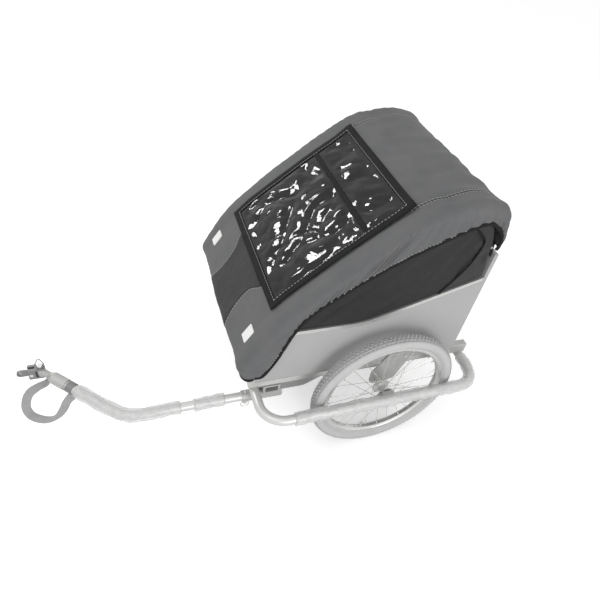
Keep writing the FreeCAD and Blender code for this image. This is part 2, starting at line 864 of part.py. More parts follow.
# The hood's ridge in side view from the front hem to the rear hem, and its side
# edge from the rear hem back to the front, ahead of the axle and above the floor.
RIDGE = (
    (452, 300), (464, 352), (458, 412), (367, 553), (220, 690), (-4, 867), (-89, 897),
    (-158, 910), (-218, 903), (-256, 880), (-275, 800), (-270, 762),
)
EDGE = (
    (-256, 762), (-262, 800), (-226, 846), (-183, 852), (-59, 800), (101, 717), (257, 614),
    (307, 558), (354, 457), (377, 385), (405, 335),
)
# Where the flap lies on the ridge, by the ridge's corners.
FLAP = (3, 4, 5)


def offset(points, distance):
    """The open line through (across, up) points, moved to its left, corners mitred."""
    moved = []
    for i, (x, z) in enumerate(points):
        normals = []
        for j in (i - 1, i):
            if 0 <= j < len(points) - 1:
                step = V(points[j + 1][0] - points[j][0], points[j + 1][1] - points[j][1], 0)
                step.normalize()
                normals.append(V(-step.y, step.x, 0))
        middle = normals[0] if len(normals) == 1 else normals[0] + normals[1]
        middle.normalize()
        reach = distance / middle.dot(normals[0])
        moved.append((x + middle.x * reach, z + middle.y * reach))
    return moved


def prism(points, half, start=None):
    """A closed (across, up) outline, extruded across the trailer about Y = 0 or from start."""
    low = -half if start is None else start
    ring = [V(x, low, z) for x, z in points]
    face = Part.Face(Part.makePolygon(ring + ring[:1]))
    return face.extrude(V(0, half - low, 0))


def soft(label, solid):
    thing = keep(doc.addObject("Part::Feature", label), label)
    thing.Shape = solid
    thing.Placement = FreeCAD.Placement(V(axle_x.value, 0, 0), FreeCAD.Rotation())
    return thing


def arched(ridge, low, half, radius):
    """A solid below the ridge whose long edges are rounded, ringed from side to side."""
    rings = []
    for side in (-1, 1):
        for angle in (0, 30, 60, 90)[::-side]:
            turn = math.radians(angle)
            y = side * (half - radius * (1 - math.cos(turn)))
            points = offset(ridge, radius * (1 - math.sin(turn))) + low
            ring = [V(x, y, z) for x, z in points]
            rings.append(Part.makePolygon(ring + ring[:1]))
    return Part.makeLoft(rings, True, True)


def canopy():
    """One fabric skin: over the ridge, round its long edges and down both sides."""
    half = dims.hood_half_width.value
    wall = dims.fabric.value
    radius = dims.hood_edge_radius.value
    ridge = list(RIDGE)
    low = [(-225, 640), (-120, 500), (330, 250), (400, 210)]
    outer = arched(ridge, low, half, radius)
    hollow = arched(offset(ridge, wall), low, half - wall, radius - wall)
    skin = outer.cut(hollow)
    keep_in = prism(offset(ridge, -20) + list(EDGE), half + 10)
    return skin.common(keep_in)


def ridge_part(first, last, inset_first=0.0, inset_last=0.0):
    """The ridge's corners from first to last, the ends drawn in along it."""
    points = [V(x, z, 0) for x, z in RIDGE[first:last + 1]]
    step = points[1] - points[0]
    points[0] = points[0] + step.normalize() * inset_first
    step = points[-2] - points[-1]
    points[-1] = points[-1] + step.normalize() * inset_last
    return [(point.x, point.y) for point in points]


def band(points, low, high):
    """A strip of constant depth above the line through the points."""
    return offset(points, -low) + offset(points, -high)[::-1]


def hood():
    border = dims.flap_border.value
    window = prism(band(ridge_part(FLAP[0], FLAP[-1], border + 20, border + 20), -20, 20),
                   dims.window_half_width.value)
    skin = canopy().cut(window)
    soft("hood_canopy", skin)
    reach = dims.soft_gap.value
    insert = prism(band(ridge_part(2, 3, 4, 6), reach, reach + 1.0), 118)
    soft("hood_insert", insert)


def flap():
    """The clear sheet under a bound border with one cross band."""
    lift = dims.soft_gap.value
    sheet_top = lift + dims.sheet_wall.value
    top = sheet_top + dims.border_wall.value
    half = dims.flap_half_width.value
    border = dims.flap_border.value
    soft("window_sheet", prism(band(ridge_part(FLAP[0], FLAP[-1]), lift, sheet_top), half))
    frame = prism(band(ridge_part(FLAP[0], FLAP[-1]), sheet_top, top), half)
    opening = prism(band(ridge_part(FLAP[0], FLAP[-1], border, border), -20, 20), half - border)
    frame = frame.cut(opening)
    points = [V(x, z, 0) for x, z in ridge_part(FLAP[0], FLAP[-1])]
    run = (points[2] - points[1]).normalize()
    middle = points[0] + (points[1] - points[0]) + run * (
        dims.flap_divider_at.value * ((points[1] - points[0]).Length + (points[2] - points[1]).Length)
        - (points[1] - points[0]).Length)
    start = middle - run * 6
    end = middle + run * 6
    divider = band([(start.x, start.y), (end.x, end.y)], sheet_top, top)
    frame = frame.fuse(prism(divider, half - border)).removeSplitter()
    soft("window_binding", frame)


SCREEN = (
    (-250, 775), (-226, 836), (-183, 862), (-59, 815), (101, 732), (257, 630), (318, 562),
)


def screen(name, side):
    """The dark side screen between the hood's edge and the box."""
    low, high = both_sides(side, dims.screen_half_width - 2, dims.screen_half_width)
    top = [(x, z) for x, z in SCREEN]
    lift = 4
    bottom = [
        (dims.side_top_front - 2, dims.side_top + lift), (dims.side_top_bend, dims.side_top + lift + 2),
        (rear_face_at(dims.side_rear_top) + 14, dims.side_rear_top + lift),
    ]
    slab("screen_" + name, bottom + top, low, high)


def hood_frame():
    """Two hoops that meet in a hinge eye at each rear corner of the box."""
    pivot = (-dims.hinge_behind.value, dims.hinge_height.value)
    radius = dims.hoop_radius.value
    half = dims.hoop_half_width.value
    bend = 40.0
    parts = []
    for far in ((-196.0, 888.0), (412.0, 444.0)):
        reach = V(far[0] - pivot[0], 0, far[1] - pivot[1])
        turn = FreeCAD.Rotation(V(1, 0, 0), reach)
        long = reach.Length
        edges = [
            Part.makeLine(V(0, half, 0), V(long - bend, half, 0)),
            Part.Arc(V(long - bend, half, 0),
                     V(long - bend + bend * math.sin(math.pi / 4), half - bend + bend * math.cos(math.pi / 4), 0),
                     V(long, half - bend, 0)).toShape(),
            Part.makeLine(V(long, half - bend, 0), V(long, bend - half, 0)),
            Part.Arc(V(long, bend - half, 0),
                     V(long - bend + bend * math.sin(math.pi / 4), bend - half - bend * math.cos(math.pi / 4), 0),
                     V(long - bend, -half, 0)).toShape(),
            Part.makeLine(V(long - bend, -half, 0), V(0, -half, 0)),
        ]
        path = Part.Wire(edges)
        ring = Part.Wire(Part.makeCircle(radius, V(0, half, 0), V(1, 0, 0)))
        hoop = path.makePipeShell([ring], True, False)
        hoop.Placement = FreeCAD.Placement(V(pivot[0], 0, pivot[1]), turn)
        parts.append(hoop)
    eye = dims.hinge_eye_radius.value
    pin = dims.hinge_pin_radius.value + dims.axle_clearance.value
    whole = parts[0].fuse(parts[1])
    for side in (1, -1):
        start = half - 8 if side > 0 else -half - 8
        spot = V(pivot[0], start, pivot[1])
        whole = whole.fuse(Part.makeCylinder(eye, 16, spot, V(0, 1, 0)))
    for side in (1, -1):
        start = half - 12 if side > 0 else -half - 12
        whole = whole.cut(Part.makeCylinder(pin, 24, V(pivot[0], start, pivot[1]), V(0, 1, 0)))
    soft("hood_frame", whole)


def hinge_bracket(name, side):
    """The plate and fixed pin that carry the hood at a rear corner."""
    eye_in = dims.hoop_half_width - 8
    low, high = both_sides(side, eye_in - 4.3, eye_in - 0.3)
    x = -dims.hinge_behind
    z = dims.hinge_height
    face = rear_face_at(dims.rear_top - 45)
    body = slab("hinge_bracket_" + name, [
        (face + 0.1, dims.rear_top - 45, 0.5), (face + 16, dims.rear_top - 45, 6),
        (x + 10, z - 2, 6), (x + 8, z + 8, 7), (x - 8, z + 8, 7),
        (rear_face_at(dims.rear_top) + 0.1, dims.rear_top + 1, 1),
    ], low, high)
    low, high = both_sides(side, eye_in - 0.5, eye_in + 18)
    pin = sketch_on(body, "XZ_Plane", -high)
    circle(pin, x, z, dims.hinge_pin_radius)
    pad(body, pin, high - low)


def reflectors():
    """White reflectors on dark bases, on the slope of the hood's front."""
    low = V(RIDGE[2][0], 0, RIDGE[2][1])
    high = V(RIDGE[3][0], 0, RIDGE[3][1])
    slope = (high - low).normalize()
    normal = V(slope.z, 0, -slope.x)
    middle = low + slope * 62
    for label, start, depth, wide, tall in (
        ("reflector_bases", 0.3, 3.0, 42, 54), ("reflector_lenses", 3.3, 4.0, 36, 48),
    ):
        solids = []
        for side in (1, -1):
            box = Part.makeBox(tall, wide, depth, V(-tall / 2, -wide / 2, 0))
            box = box.makeFillet(4, [edge for edge in box.Edges
                                     if abs(edge.tangentAt(edge.FirstParameter).z) > 0.9])
            turn = FreeCAD.Rotation(slope, V(0, 1, 0), normal, "XZY")
            box.Placement = FreeCAD.Placement(middle + V(0, 236 * side, 0) + normal * start, turn)
            solids.append(box)
        soft(label, Part.makeCompound(solids))


# towbar

towbar_z = dims.guard_height - dims.guard_radius - dims.socket_radius - dims.socket_gap
hitch_spot = V(dims.hitch_ahead.value, dims.hitch_left.value, dims.hitch_height.value)
corner_spot = V(dims.towbar_corner.value, dims.rail_middle.value, towbar_z.value)
bar_run = (hitch_spot - corner_spot).Length
bar_way = (hitch_spot - corner_spot).normalize()


def towbar():
    """A tube: straight from the socket, then bent inwards and up to the hitch."""
    body = keep(doc.addObject("PartDesign::Body", "towbar"), "towbar")
    rise = hitch_spot - corner_spot
    sideways = math.hypot(rise.y, rise.z)
    roll = math.degrees(math.atan2(rise.z, -rise.y))
    base = V(axle_x.value, dims.rail_middle.value, towbar_z.value)
    body.Placement = FreeCAD.Placement(base, FreeCAD.Rotation(V(1, 0, 0), -roll))
    share = (bar_run - dims.neck_length.value) / bar_run
    spine = sketch_on(body, "XY_Plane")
    draw(spine, [
        (dims.towbar_start, 0), (dims.towbar_corner, 0, dims.towbar_bend),
        (dims.towbar_corner.value + rise.x * share, -sideways * share),
    ], closed=False)
    section = sketch_on(body, "YZ_Plane", dims.towbar_start)
    circle(section, 0, 0, dims.towbar_radius)
    circle(section, 0, 0, dims.towbar_radius - dims.tube_wall)
    sweep(body, spine, [section])
    hole = sketch_on(body, "XY_Plane")
    hole.setExpression("AttachmentOffset.Base.z", None)
    upright = FreeCAD.Rotation(V(1, 0, 0), roll)
    hole.AttachmentOffset = FreeCAD.Placement(V(0, 0, 0), upright)
    circle(hole, dims.lock_pin_at, 0, dims.lock_pin_radius + dims.fit_clearance)
    pocket(body, hole, 40, midplane=True)


def towbar_socket():
    """The receiver tube hung below the left rail by two cheeks."""
    body = new_body("towbar_socket", 0, dims.rail_middle, towbar_z)
    tube = sketch_on(body, "YZ_Plane", dims.socket_start)
    circle(tube, 0, 0, dims.socket_radius)
    pad(body, tube, dims.socket_end - dims.socket_start)
    top = dims.guard_height + dims.guard_radius - 3 - towbar_z
    hanger = sketch_on(body, "YZ_Plane", dims.socket_start + 6)
    draw(hanger, [
        (-dims.socket_radius + 2, -4), (dims.socket_radius - 2, -4),
        (dims.rail_width / 2 + 4, top, 2), (-dims.rail_width / 2 - 4, top, 2),
    ])
    pad(body, hanger, 56)
    slot = sketch_on(body, "XZ_Plane")
    rectangle(slot, dims.socket_start + 14, dims.socket_radius + 2,
              dims.socket_start + 54, top - 4, 3)
    pocket(body, slot, 60, midplane=True)
    bore = sketch_on(body, "YZ_Plane", dims.socket_start - 1)
    circle(bore, 0, 0, dims.towbar_radius + dims.fit_clearance)
    bored = pocket(body, bore, dims.socket_end - dims.socket_start + 2)
    bored.Reversed = True
    hole = sketch_on(body, "XY_Plane", -30)
    circle(hole, dims.lock_pin_at, 0, dims.lock_pin_radius + dims.fit_clearance)
    drilled = pocket(body, hole, 60)
    drilled.Reversed = True


def lock_pin():
    """The pin that locks the towbar, pulled out downwards by its ring."""
    body = new_body("lock_pin", dims.lock_pin_at, dims.rail_middle, towbar_z)
    sketch = sketch_on(body, "XZ_Plane")
    radius = dims.lock_pin_radius
    below = -dims.socket_radius
    draw(sketch, [
        (0, below - 16), (6, below - 16), (6, below - 4), (9, below - 4), (9, below - 0.3),
        (radius, below - 0.3), (radius, dims.socket_radius + 3), (radius - 2, dims.socket_radius + 5),
        (0, dims.socket_radius + 5),
    ])
    revolve(body, sketch, "Z_Axis")
    eye = sketch_on(body, "YZ_Plane")
    circle(eye, 0, below - 10.5, 3)
    pocket(body, eye, 20, midplane=True)
    ring = keep(doc.addObject("Part::Torus", "lock_ring"), "lock_ring")
    ring.Radius1 = 13
    ring.Radius2 = 1.3
    ring.Placement = FreeCAD.Placement(V(0, 0, 0), FreeCAD.Rotation(V(1, 0, 0), 90))
    place(ring, dims.lock_pin_at, dims.rail_middle, towbar_z + below - 23.5)


# hitch

def at_hitch(along):
    """A place on the towbar's axis, measured back from the hitch's upright pin."""
    return V(axle_x.value, 0, 0) + hitch_spot - bar_way * along


def cylinder(name, radius, length, spot, way):
    thing = doc.addObject("Part::Cylinder", name)
    bind(thing, "Radius", radius)
    bind(thing, "Height", length)
    thing.Placement = FreeCAD.Placement(spot, FreeCAD.Rotation(V(0, 0, 1), way))
    return thing


def combine(kind, name, first, second):
    thing = doc.addObject("Part::" + kind, name)
    thing.Base = first
    thing.Tool = second
    return thing


def coupler_sleeve():
    """The sleeve pushed over the towbar's end, with the upright barrel ahead of it."""
    up = V(0, 0, 1)
    start = dims.neck_length + dims.sleeve_length
    sleeve = cylinder("sleeve_tube", dims.sleeve_radius, dims.sleeve_length - 4, at_hitch(start.value), bar_way)
    cone = doc.addObject("Part::Cone", "sleeve_nose")
    bind(cone, "Radius1", dims.sleeve_radius)
    bind(cone, "Radius2", dims.barrel_radius - 2)
    cone.Height = 14
    cone.Placement = FreeCAD.Placement(at_hitch(dims.neck_length.value + 4), FreeCAD.Rotation(up, bar_way))
    neck = cylinder("sleeve_neck", dims.barrel_radius - 2, dims.neck_length, at_hitch(dims.neck_length.value), bar_way)
    foot = at_hitch(0) - V(0, 0, dims.barrel_half.value)
    barrel = cylinder("sleeve_barrel", dims.barrel_radius, dims.barrel_half * 2, foot, up)
    solid = combine("Fuse", "sleeve_a", sleeve, cone)
    solid = combine("Fuse", "sleeve_b", solid, neck)
    solid = combine("Fuse", "sleeve_c", solid, barrel)
    socket = cylinder("sleeve_bore", dims.towbar_radius + dims.fit_clearance, dims.sleeve_length + 1,
                      at_hitch(start.value + 1), bar_way)
    solid = combine("Cut", "sleeve_d", solid, socket)
    drill = cylinder("barrel_bore", dims.hitch_pin_radius + dims.fit_clearance, dims.barrel_half * 2 + 2,
                     foot - V(0, 0, 1), up)
    keep(combine("Cut", "coupler_sleeve", solid, drill), "coupler_sleeve")


def strap_anchor():
    """A clamp on the towbar with the lug that the safety strap is sewn round."""
    spot = at_hitch(dims.neck_length.value + dims.sleeve_length.value + 16)
    clamp = cylinder("clamp_ring", dims.towbar_radius + 3, 20, spot - bar_way * 10, bar_way)
    lug = doc.addObject("Part::Box", "clamp_lug")
    bind(lug, "Length", dims.strap_width + 6)
    lug.Width = 7
    lug.Height = 20
    side = V(bar_way.x, bar_way.y, 0).normalize()
    turn = FreeCAD.Rotation(V(0, 0, 1), math.degrees(math.atan2(side.y, side.x)))
    corner = turn.multVec(V(-(dims.strap_width.value + 6) / 2, -3.5, -32))
    lug.Placement = FreeCAD.Placement(spot + corner, turn)
    solid = combine("Fuse", "clamp_a", clamp, lug)
    bore = cylinder("clamp_bore", dims.towbar_radius + dims.fit_clearance, 60, spot - bar_way * 30, bar_way)
    keep(combine("Cut", "strap_anchor", solid, bore), "strap_anchor")


def hitch_knuckle():
    """The yoke that swings on the upright pin and carries the arm between cheeks."""
    body = new_body("hitch_knuckle", dims.hitch_ahead, dims.hitch_left, dims.hitch_height)
    low = dims.barrel_half + dims.ear_gap
    high = low + dims.ear_wall
    reach = dims.pitch_ahead
    sketch = sketch_on(body, "XY_Plane", -high)
    draw(sketch, [
        (-12, -12, 11), (reach + 9, -12, 3), (reach + 9, 12, 3), (-12, 12, 11),
    ])
    pad(body, sketch, high * 2)
    gap = sketch_on(body, "XZ_Plane")
    rectangle(gap, -20, -low, dims.barrel_radius + 1.5, low)
    pocket(body, gap, 40, midplane=True)
    fork = sketch_on(body, "XY_Plane", -high - 1)
    cheek = dims.arm_half_wall + dims.ear_gap
    rectangle(fork, reach - dims.arm_end - 1, -cheek, reach + 12, cheek)
    slot = pocket(body, fork, high * 2 + 2)
    slot.Reversed = True
    bore = sketch_on(body, "XY_Plane", -high - 1)
    circle(bore, 0, 0, dims.hitch_pin_radius + dims.fit_clearance)
    bored = pocket(body, bore, high * 2 + 2)
    bored.Reversed = True
    cross = sketch_on(body, "XZ_Plane")
    circle(cross, reach, 0, dims.pitch_pin_radius)
    pocket(body, cross, 40, midplane=True)


def pitch_pin():
    body = new_body("pitch_pin", dims.hitch_ahead + dims.pitch_ahead, dims.hitch_left,
                    dims.hitch_height)
    sketch = sketch_on(body, "XZ_Plane", -13.5)
    circle(sketch, 0, 0, dims.pitch_pin_radius)
    pad(body, sketch, 27)
    for y in (-12, 15):
        head = sketch_on(body, "XZ_Plane", -y)
        circle(head, 0, 0, dims.pitch_pin_radius + 2)
        pad(body, head, 3)


def hitch_arm():
    """The flat plate that fits on the bicycle's rear axle."""
    half = dims.arm_half_wall
    end = dims.arm_end
    tip = dims.arm_reach
    slab("hitch_arm", [
        (-end, -end, end * 0.9), (tip + end, -11, 10), (tip + end, 11, 10), (-end, end, end * 0.9),
    ], -half, half, [
        (0, 0, dims.pitch_pin_radius + dims.fit_clearance), (tip, 0, dims.arm_bore_radius),
    ], x=dims.hitch_ahead + dims.pitch_ahead, y=dims.hitch_left, z=dims.hitch_height)


def hitch_pin():
    """The quick pin through yoke and barrel, with its pull loop."""
    body = new_body("hitch_pin", dims.hitch_ahead, dims.hitch_left, dims.hitch_height)
    high = dims.barrel_half + dims.ear_gap + dims.ear_wall
    sketch = sketch_on(body, "XZ_Plane")
    radius = dims.hitch_pin_radius
    draw(sketch, [
        (0, -high - 4), (radius - 1.5, -high - 4), (radius, -high - 1), (radius, high + 0.3),
        (8, high + 0.3), (8, high + 8, 2), (0, high + 8),
    ])
    revolve(body, sketch, "Z_Axis")
    eye = sketch_on(body, "YZ_Plane")
    circle(eye, 0, high + 4.5, 1.4)
    pocket(body, eye, 30, midplane=True)
    loop = new_body("pin_bail", dims.hitch_ahead, dims.hitch_left, dims.hitch_height)
    spine = sketch_on(loop, "XZ_Plane")
    level = high + 4.5
    draw(spine, [
        (0, level), (11, level, 3), (11, level + 8, 3), (-2, level + 32, 3),
        (-11, level + 8, 3), (-11, level, 3), (-0.2, level),
    ], closed=False)
    section = sketch_on(loop, "YZ_Plane")
    circle(section, 0, level, 1.2)
    sweep(loop, spine, [section])


# safety strap

STRAP = (
    (975.5, 101.5, 254.8), (984, 102, 233), (1010, 103, 219), (1034, 107, 203), (1049, 111, 173),
    (1054, 116, 140), (1044, 122, 110), (1014, 130, 95), (980, 138, 110), (958, 145, 145),
    (940, 148, 185),
)


def safety_strap():
    """A webbing loop that hangs below the hitch, as flat tape along lines and arcs."""
    clamp = at_hitch(dims.neck_length.value + dims.sleeve_length.value + 16)
    points = [V(*point) for point in STRAP]
    points.append(clamp - V(axle_x.value, 0, 0) + V(0, 0, -33))
    edges = []
    last = points[0]
    radii = []
    for before, here, after in zip(points, points[1:], points[2:]):
        back = before - here
        on = after - here
        shorter = min(back.Length, on.Length)
        turn = math.pi - back.getAngle(on)
        radius = 0.45 * shorter / math.tan(turn / 2)
        reach = 0.45 * shorter
        start = here + back / back.Length * reach
        stop = here + on / on.Length * reach
        middle = (back / back.Length + on / on.Length).normalize()
        depth = radius / math.cos(turn / 2) - radius
        edges.append(Part.makeLine(last, start))
        edges.append(Part.Arc(start, here + middle * depth, stop).toShape())
        radii.append(round(radius, 1))
        last = stop
    edges.append(Part.makeLine(last, points[-1]))
    path = Part.Wire(edges)
    way = (points[1] - points[0]).normalize()
    wide = V(0, 1, 0) - way * way.y
    wide.normalize()
    thin = way.cross(wide)
    w = wide * (dims.strap_width.value / 2)
    t = thin * (dims.strap_wall.value / 2)
    ring = [points[0] + w + t, points[0] - w + t, points[0] - w - t, points[0] + w - t]
    profile = Part.makePolygon(ring + ring[:1])
    solid = path.makePipeShell([profile], True, False)
    soft("safety_strap", solid)
    section = dims.strap_width.value * dims.strap_wall.value
    print("strap radii", radii, "length", round(path.Length, 1),
          "volume share", round(solid.Volume / section / path.Length, 3))


def build():
    for name, side in SIDES:
        tyre(name, side)
        rim(name, side)
        spokes(name, side)
        hub(name, side)
        bearings(name, side)
        valve(name, side)
        guard(name, side)
        rail(name, side)
        hub_plate(name, side)
        axle_lug(name, side)
        axle(name, side)
        side_panel(name, side)
        screen(name, side)
        hinge_bracket(name, side)
    axle_beam()
    hub_bolts()
    rear_panel()
    floor_and_front()
    edge_angles()
    top_trims()
    foot_well()
    seat_board()
    cushions()
    harness_straps()
    hood()
    flap()
    hood_frame()
    reflectors()
    towbar()
    towbar_socket()
    lock_pin()
    coupler_sleeve()
    strap_anchor()
    hitch_knuckle()
    pitch_pin()
    hitch_arm()
    hitch_pin()
    safety_strap()


def check():
    faults = []
    for thing in doc.Objects:
        if "Invalid" in thing.State or "Error" in thing.State:
            faults.append(thing.Label + " did not compute")
    for piece in pieces:
        if piece.Shape.isNull() or not piece.Shape.isValid() or piece.Shape.Volume <= 0:
            faults.append(piece.Label + " has no valid solid")
    if faults:
        raise RuntimeError("; ".join(faults))


build()
doc.recompute()
check()
os.makedirs("parts", exist_ok=True)
for piece in pieces:
    piece.Shape.exportStep("parts/" + piece.Label + ".step")
print(len(pieces), "pieces written")
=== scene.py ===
"""Looks of a child bicycle trailer: its finishes, soft goods, small fittings, floor, light and camera."""

import json
import logging
import math
from dataclasses import dataclass
from enum import Enum
from functools import lru_cache
from typing import Callable, Sequence

import bmesh
import bpy
import numpy as np
from mathutils import Matrix, Vector, noise


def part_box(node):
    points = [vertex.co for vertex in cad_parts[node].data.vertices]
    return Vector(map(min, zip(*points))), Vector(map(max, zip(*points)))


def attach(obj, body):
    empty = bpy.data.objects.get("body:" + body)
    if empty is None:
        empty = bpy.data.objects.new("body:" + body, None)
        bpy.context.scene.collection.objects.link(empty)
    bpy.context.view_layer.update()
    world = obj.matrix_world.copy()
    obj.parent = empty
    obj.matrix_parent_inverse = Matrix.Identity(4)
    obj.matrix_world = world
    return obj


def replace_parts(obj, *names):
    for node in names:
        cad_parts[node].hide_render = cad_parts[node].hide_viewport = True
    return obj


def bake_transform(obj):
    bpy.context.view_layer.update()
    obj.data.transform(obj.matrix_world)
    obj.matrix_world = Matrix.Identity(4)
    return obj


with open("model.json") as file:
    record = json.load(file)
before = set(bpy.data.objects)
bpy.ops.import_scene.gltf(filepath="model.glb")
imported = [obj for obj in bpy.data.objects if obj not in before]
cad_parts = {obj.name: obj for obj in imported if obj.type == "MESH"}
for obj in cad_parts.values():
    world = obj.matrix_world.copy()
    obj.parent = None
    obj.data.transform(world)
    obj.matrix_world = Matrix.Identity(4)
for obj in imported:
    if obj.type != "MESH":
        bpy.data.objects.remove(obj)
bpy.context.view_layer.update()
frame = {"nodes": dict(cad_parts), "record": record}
log = logging.getLogger("trailer")

AXLE_X = -348.0
"""Where the axle stands along the part, in mm. Every size below is measured from it."""

BANDS_TO_SIZE = 0.314
"""The Wave texture's scale that gives one band to each unit of length, very nearly."""

Ends = tuple[float, float]
Spot = tuple[float, float, float]
Value = object


def linear(code: str) -> tuple[float, float, float, float]:
    """Turn an sRGB hex colour into linear light.

    Args:
        code: The colour as "#RRGGBB".

    Returns:
        Red, green, blue and an alpha of 1.
    """
    parts = [int(code[i:i + 2], 16) / 255 for i in (1, 3, 5)]
    light = [p / 12.92 if p <= 0.04045 else ((p + 0.055) / 1.055) ** 2.4 for p in parts]
    return (light[0], light[1], light[2], 1.0)


def in_part(points: np.ndarray) -> np.ndarray:
    """Move points from millimetres about the axle to metres in the part's frame.

    Args:
        points: An array whose last axis is (along, across, up).

    Returns:
        The array in metres.
    """
    return (np.asarray(points, float) + np.array([AXLE_X, 0.0, 0.0])) / 1000.0


def ripple(spot: Spot, size: float, seed: float = 0.0) -> float:
    """Give a smooth random height between -1 and 1.

    Args:
        spot: Where to read it, in mm.
        size: How wide one bump is, in mm.
        seed: Shifts the pattern.

    Returns:
        The height.
    """
    return noise.noise(Vector((spot[0] / size + seed, spot[1] / size - seed, spot[2] / size + 2 * seed)))


def crease(spot: Spot, size: float, seed: float = 0.0) -> float:
    """Give a height with sharp folds, from 0 in a fold to 1 between folds.

    Args:
        spot: Where to read it, in mm.
        size: How far apart the folds are, in mm.
        seed: Shifts the pattern.

    Returns:
        The height.
    """
    return min(1.0, 2.4 * abs(ripple(spot, size, seed)))


def ease(value: float, low: float, high: float) -> float:
    """Rise smoothly from 0 at low to 1 at high."""
    share = min(1.0, max(0.0, (value - low) / (high - low)))
    return share * share * (3 - 2 * share)


def run_lengths(path: np.ndarray) -> np.ndarray:
    """Give the distance along a path at each of its points."""
    return np.concatenate([[0.0], np.cumsum(np.linalg.norm(np.diff(path, axis=0), axis=1))])


def unit_ways(path: np.ndarray) -> np.ndarray:
    """Give the unit direction of a path at each of its points."""
    ways = np.gradient(path, axis=0)
    return ways / np.linalg.norm(ways, axis=1, keepdims=True)


def new_object(name: str, data: bpy.types.ID) -> bpy.types.Object:
    """Put a new object with this data into the scene."""
    made = bpy.data.objects.new(name, data)
    bpy.context.scene.collection.objects.link(made)
    return made


def baked(piece: bpy.types.Object) -> bpy.types.Mesh:
    """Give the mesh that a piece's modifiers make, and take them off."""
    depsgraph = bpy.context.evaluated_depsgraph_get()
    made = bpy.data.meshes.new_from_object(piece.evaluated_get(depsgraph))
    piece.modifiers.clear()
    return made


def add_node(tree: bpy.types.NodeTree, kind: str, links: dict | None = None,
             **settings: Value) -> bpy.types.Node:
    """Add one node with its settings, values and links.

    Args:
        tree: The tree that gets the node.
        kind: Blender's name for the node.
        links: For each input, by name or number, the socket or plain value it takes.
        settings: Properties to set on the node.

    Returns:
        The new node.
    """
    node = tree.nodes.new(kind)
    for name, value in settings.items():
        setattr(node, name, value)
    for name, value in (links or {}).items():
        if isinstance(value, bpy.types.NodeSocket):
            tree.links.new(value, node.inputs[name])
        else:
            node.inputs[name].default_value = value
    return node


class Relief(Enum):
    """The kinds of fine surface pattern that a finish may have."""

    GRAIN = "grain"
    WEAVE = "weave"
    RIBS = "ribs"
    CELLS = "cells"


class Coords(Enum):
    """What a pattern follows: the part's own space, or the cloth's flat pattern."""

    OBJECT = "Object"
    CLOTH = "UV"


@dataclass(frozen=True)
class Layer:
    """One layer of surface pattern, by the size of its bumps and their height."""

    relief: Relief
    size_mm: float
    height_mm: float


@dataclass(frozen=True)
class Finish:
    """A real material and how its surface was made."""

    name: str
    colour: str
    shade: str
    roughness: float
    spread: float = 0.06
    mottle_mm: float = 70.0
    metallic: float = 0.0
    sheen: float = 0.0
    coat: float = 0.0
    alpha: float = 1.0
    shine: float = 0.5
    coords: Coords = Coords.OBJECT
    layers: tuple[Layer, ...] = ()

    def pattern(self, tree: bpy.types.NodeTree, place: bpy.types.NodeSocket,
                layer: Layer) -> bpy.types.NodeSocket:
        """Make one layer's height.

        Args:
            tree: The material's tree.
            place: The coordinates that the pattern follows, in metres.
            layer: The layer to draw.

        Returns:
            The socket that carries its height.
        """
        per_metre = 1000.0 / layer.size_mm
        if layer.relief is Relief.GRAIN:
            grain = add_node(tree, "ShaderNodeTexNoise", {
                "Vector": place, "Scale": per_metre, "Detail": 3.0,
            })
            return grain.outputs["Fac"]
        if layer.relief is Relief.CELLS:
            cells = add_node(tree, "ShaderNodeTexVoronoi", {"Vector": place, "Scale": per_metre})
            return cells.outputs["Distance"]
        bands = per_metre * BANDS_TO_SIZE
        warp = add_node(tree, "ShaderNodeTexWave", {"Vector": place, "Scale": bands}, bands_direction="X")
        if layer.relief is Relief.RIBS:
            return warp.outputs["Fac"]
        weft = add_node(tree, "ShaderNodeTexWave", {"Vector": place, "Scale": bands}, bands_direction="Y")
        cloth = add_node(tree, "ShaderNodeMath", {
            0: warp.outputs["Fac"], 1: weft.outputs["Fac"],
        }, operation="MULTIPLY")
        return cloth.outputs[0]

    def material(self) -> bpy.types.Material:
        """Build the material, or give the one already built.

        Returns:
            The Blender material.
        """
        if self.name in bpy.data.materials:
            return bpy.data.materials[self.name]
        made = bpy.data.materials.new(self.name)
        made.use_nodes = True
        tree = made.node_tree
        tree.nodes.clear()
        place = add_node(tree, "ShaderNodeTexCoord").outputs[self.coords.value]
        space = add_node(tree, "ShaderNodeTexCoord").outputs["Object"]
        cloud = add_node(tree, "ShaderNodeTexNoise", {
            "Vector": space, "Scale": 1000.0 / self.mottle_mm, "Detail": 6.0, "Roughness": 0.62,
        })
        tone = add_node(tree, "ShaderNodeMix", {
            0: cloud.outputs["Fac"], 6: linear(self.colour), 7: linear(self.shade),
        }, data_type="RGBA")
        gloss = add_node(tree, "ShaderNodeMapRange", {
            "Value": cloud.outputs["Fac"], 1: 0.3, 2: 0.7,
            3: max(0.02, self.roughness - self.spread), 4: min(1.0, self.roughness + self.spread),
        })
        shader = add_node(tree, "ShaderNodeBsdfPrincipled", {
            "Base Color": tone.outputs[2], "Roughness": gloss.outputs[0], "Metallic": self.metallic,
            "Sheen Weight": self.sheen, "Coat Weight": self.coat, "Alpha": self.alpha,
            "Specular IOR Level": self.shine,
        })
        normal = None
        for layer in self.layers:
            links = {"Height": self.pattern(tree, place, layer), "Distance": layer.height_mm / 1000.0}
            if normal is not None:
                links["Normal"] = normal
            normal = add_node(tree, "ShaderNodeBump", links).outputs[0]
        if normal is not None:
            tree.links.new(normal, shader.inputs["Normal"])
        add_node(tree, "ShaderNodeOutputMaterial", {"Surface": shader.outputs[0]})
        return made


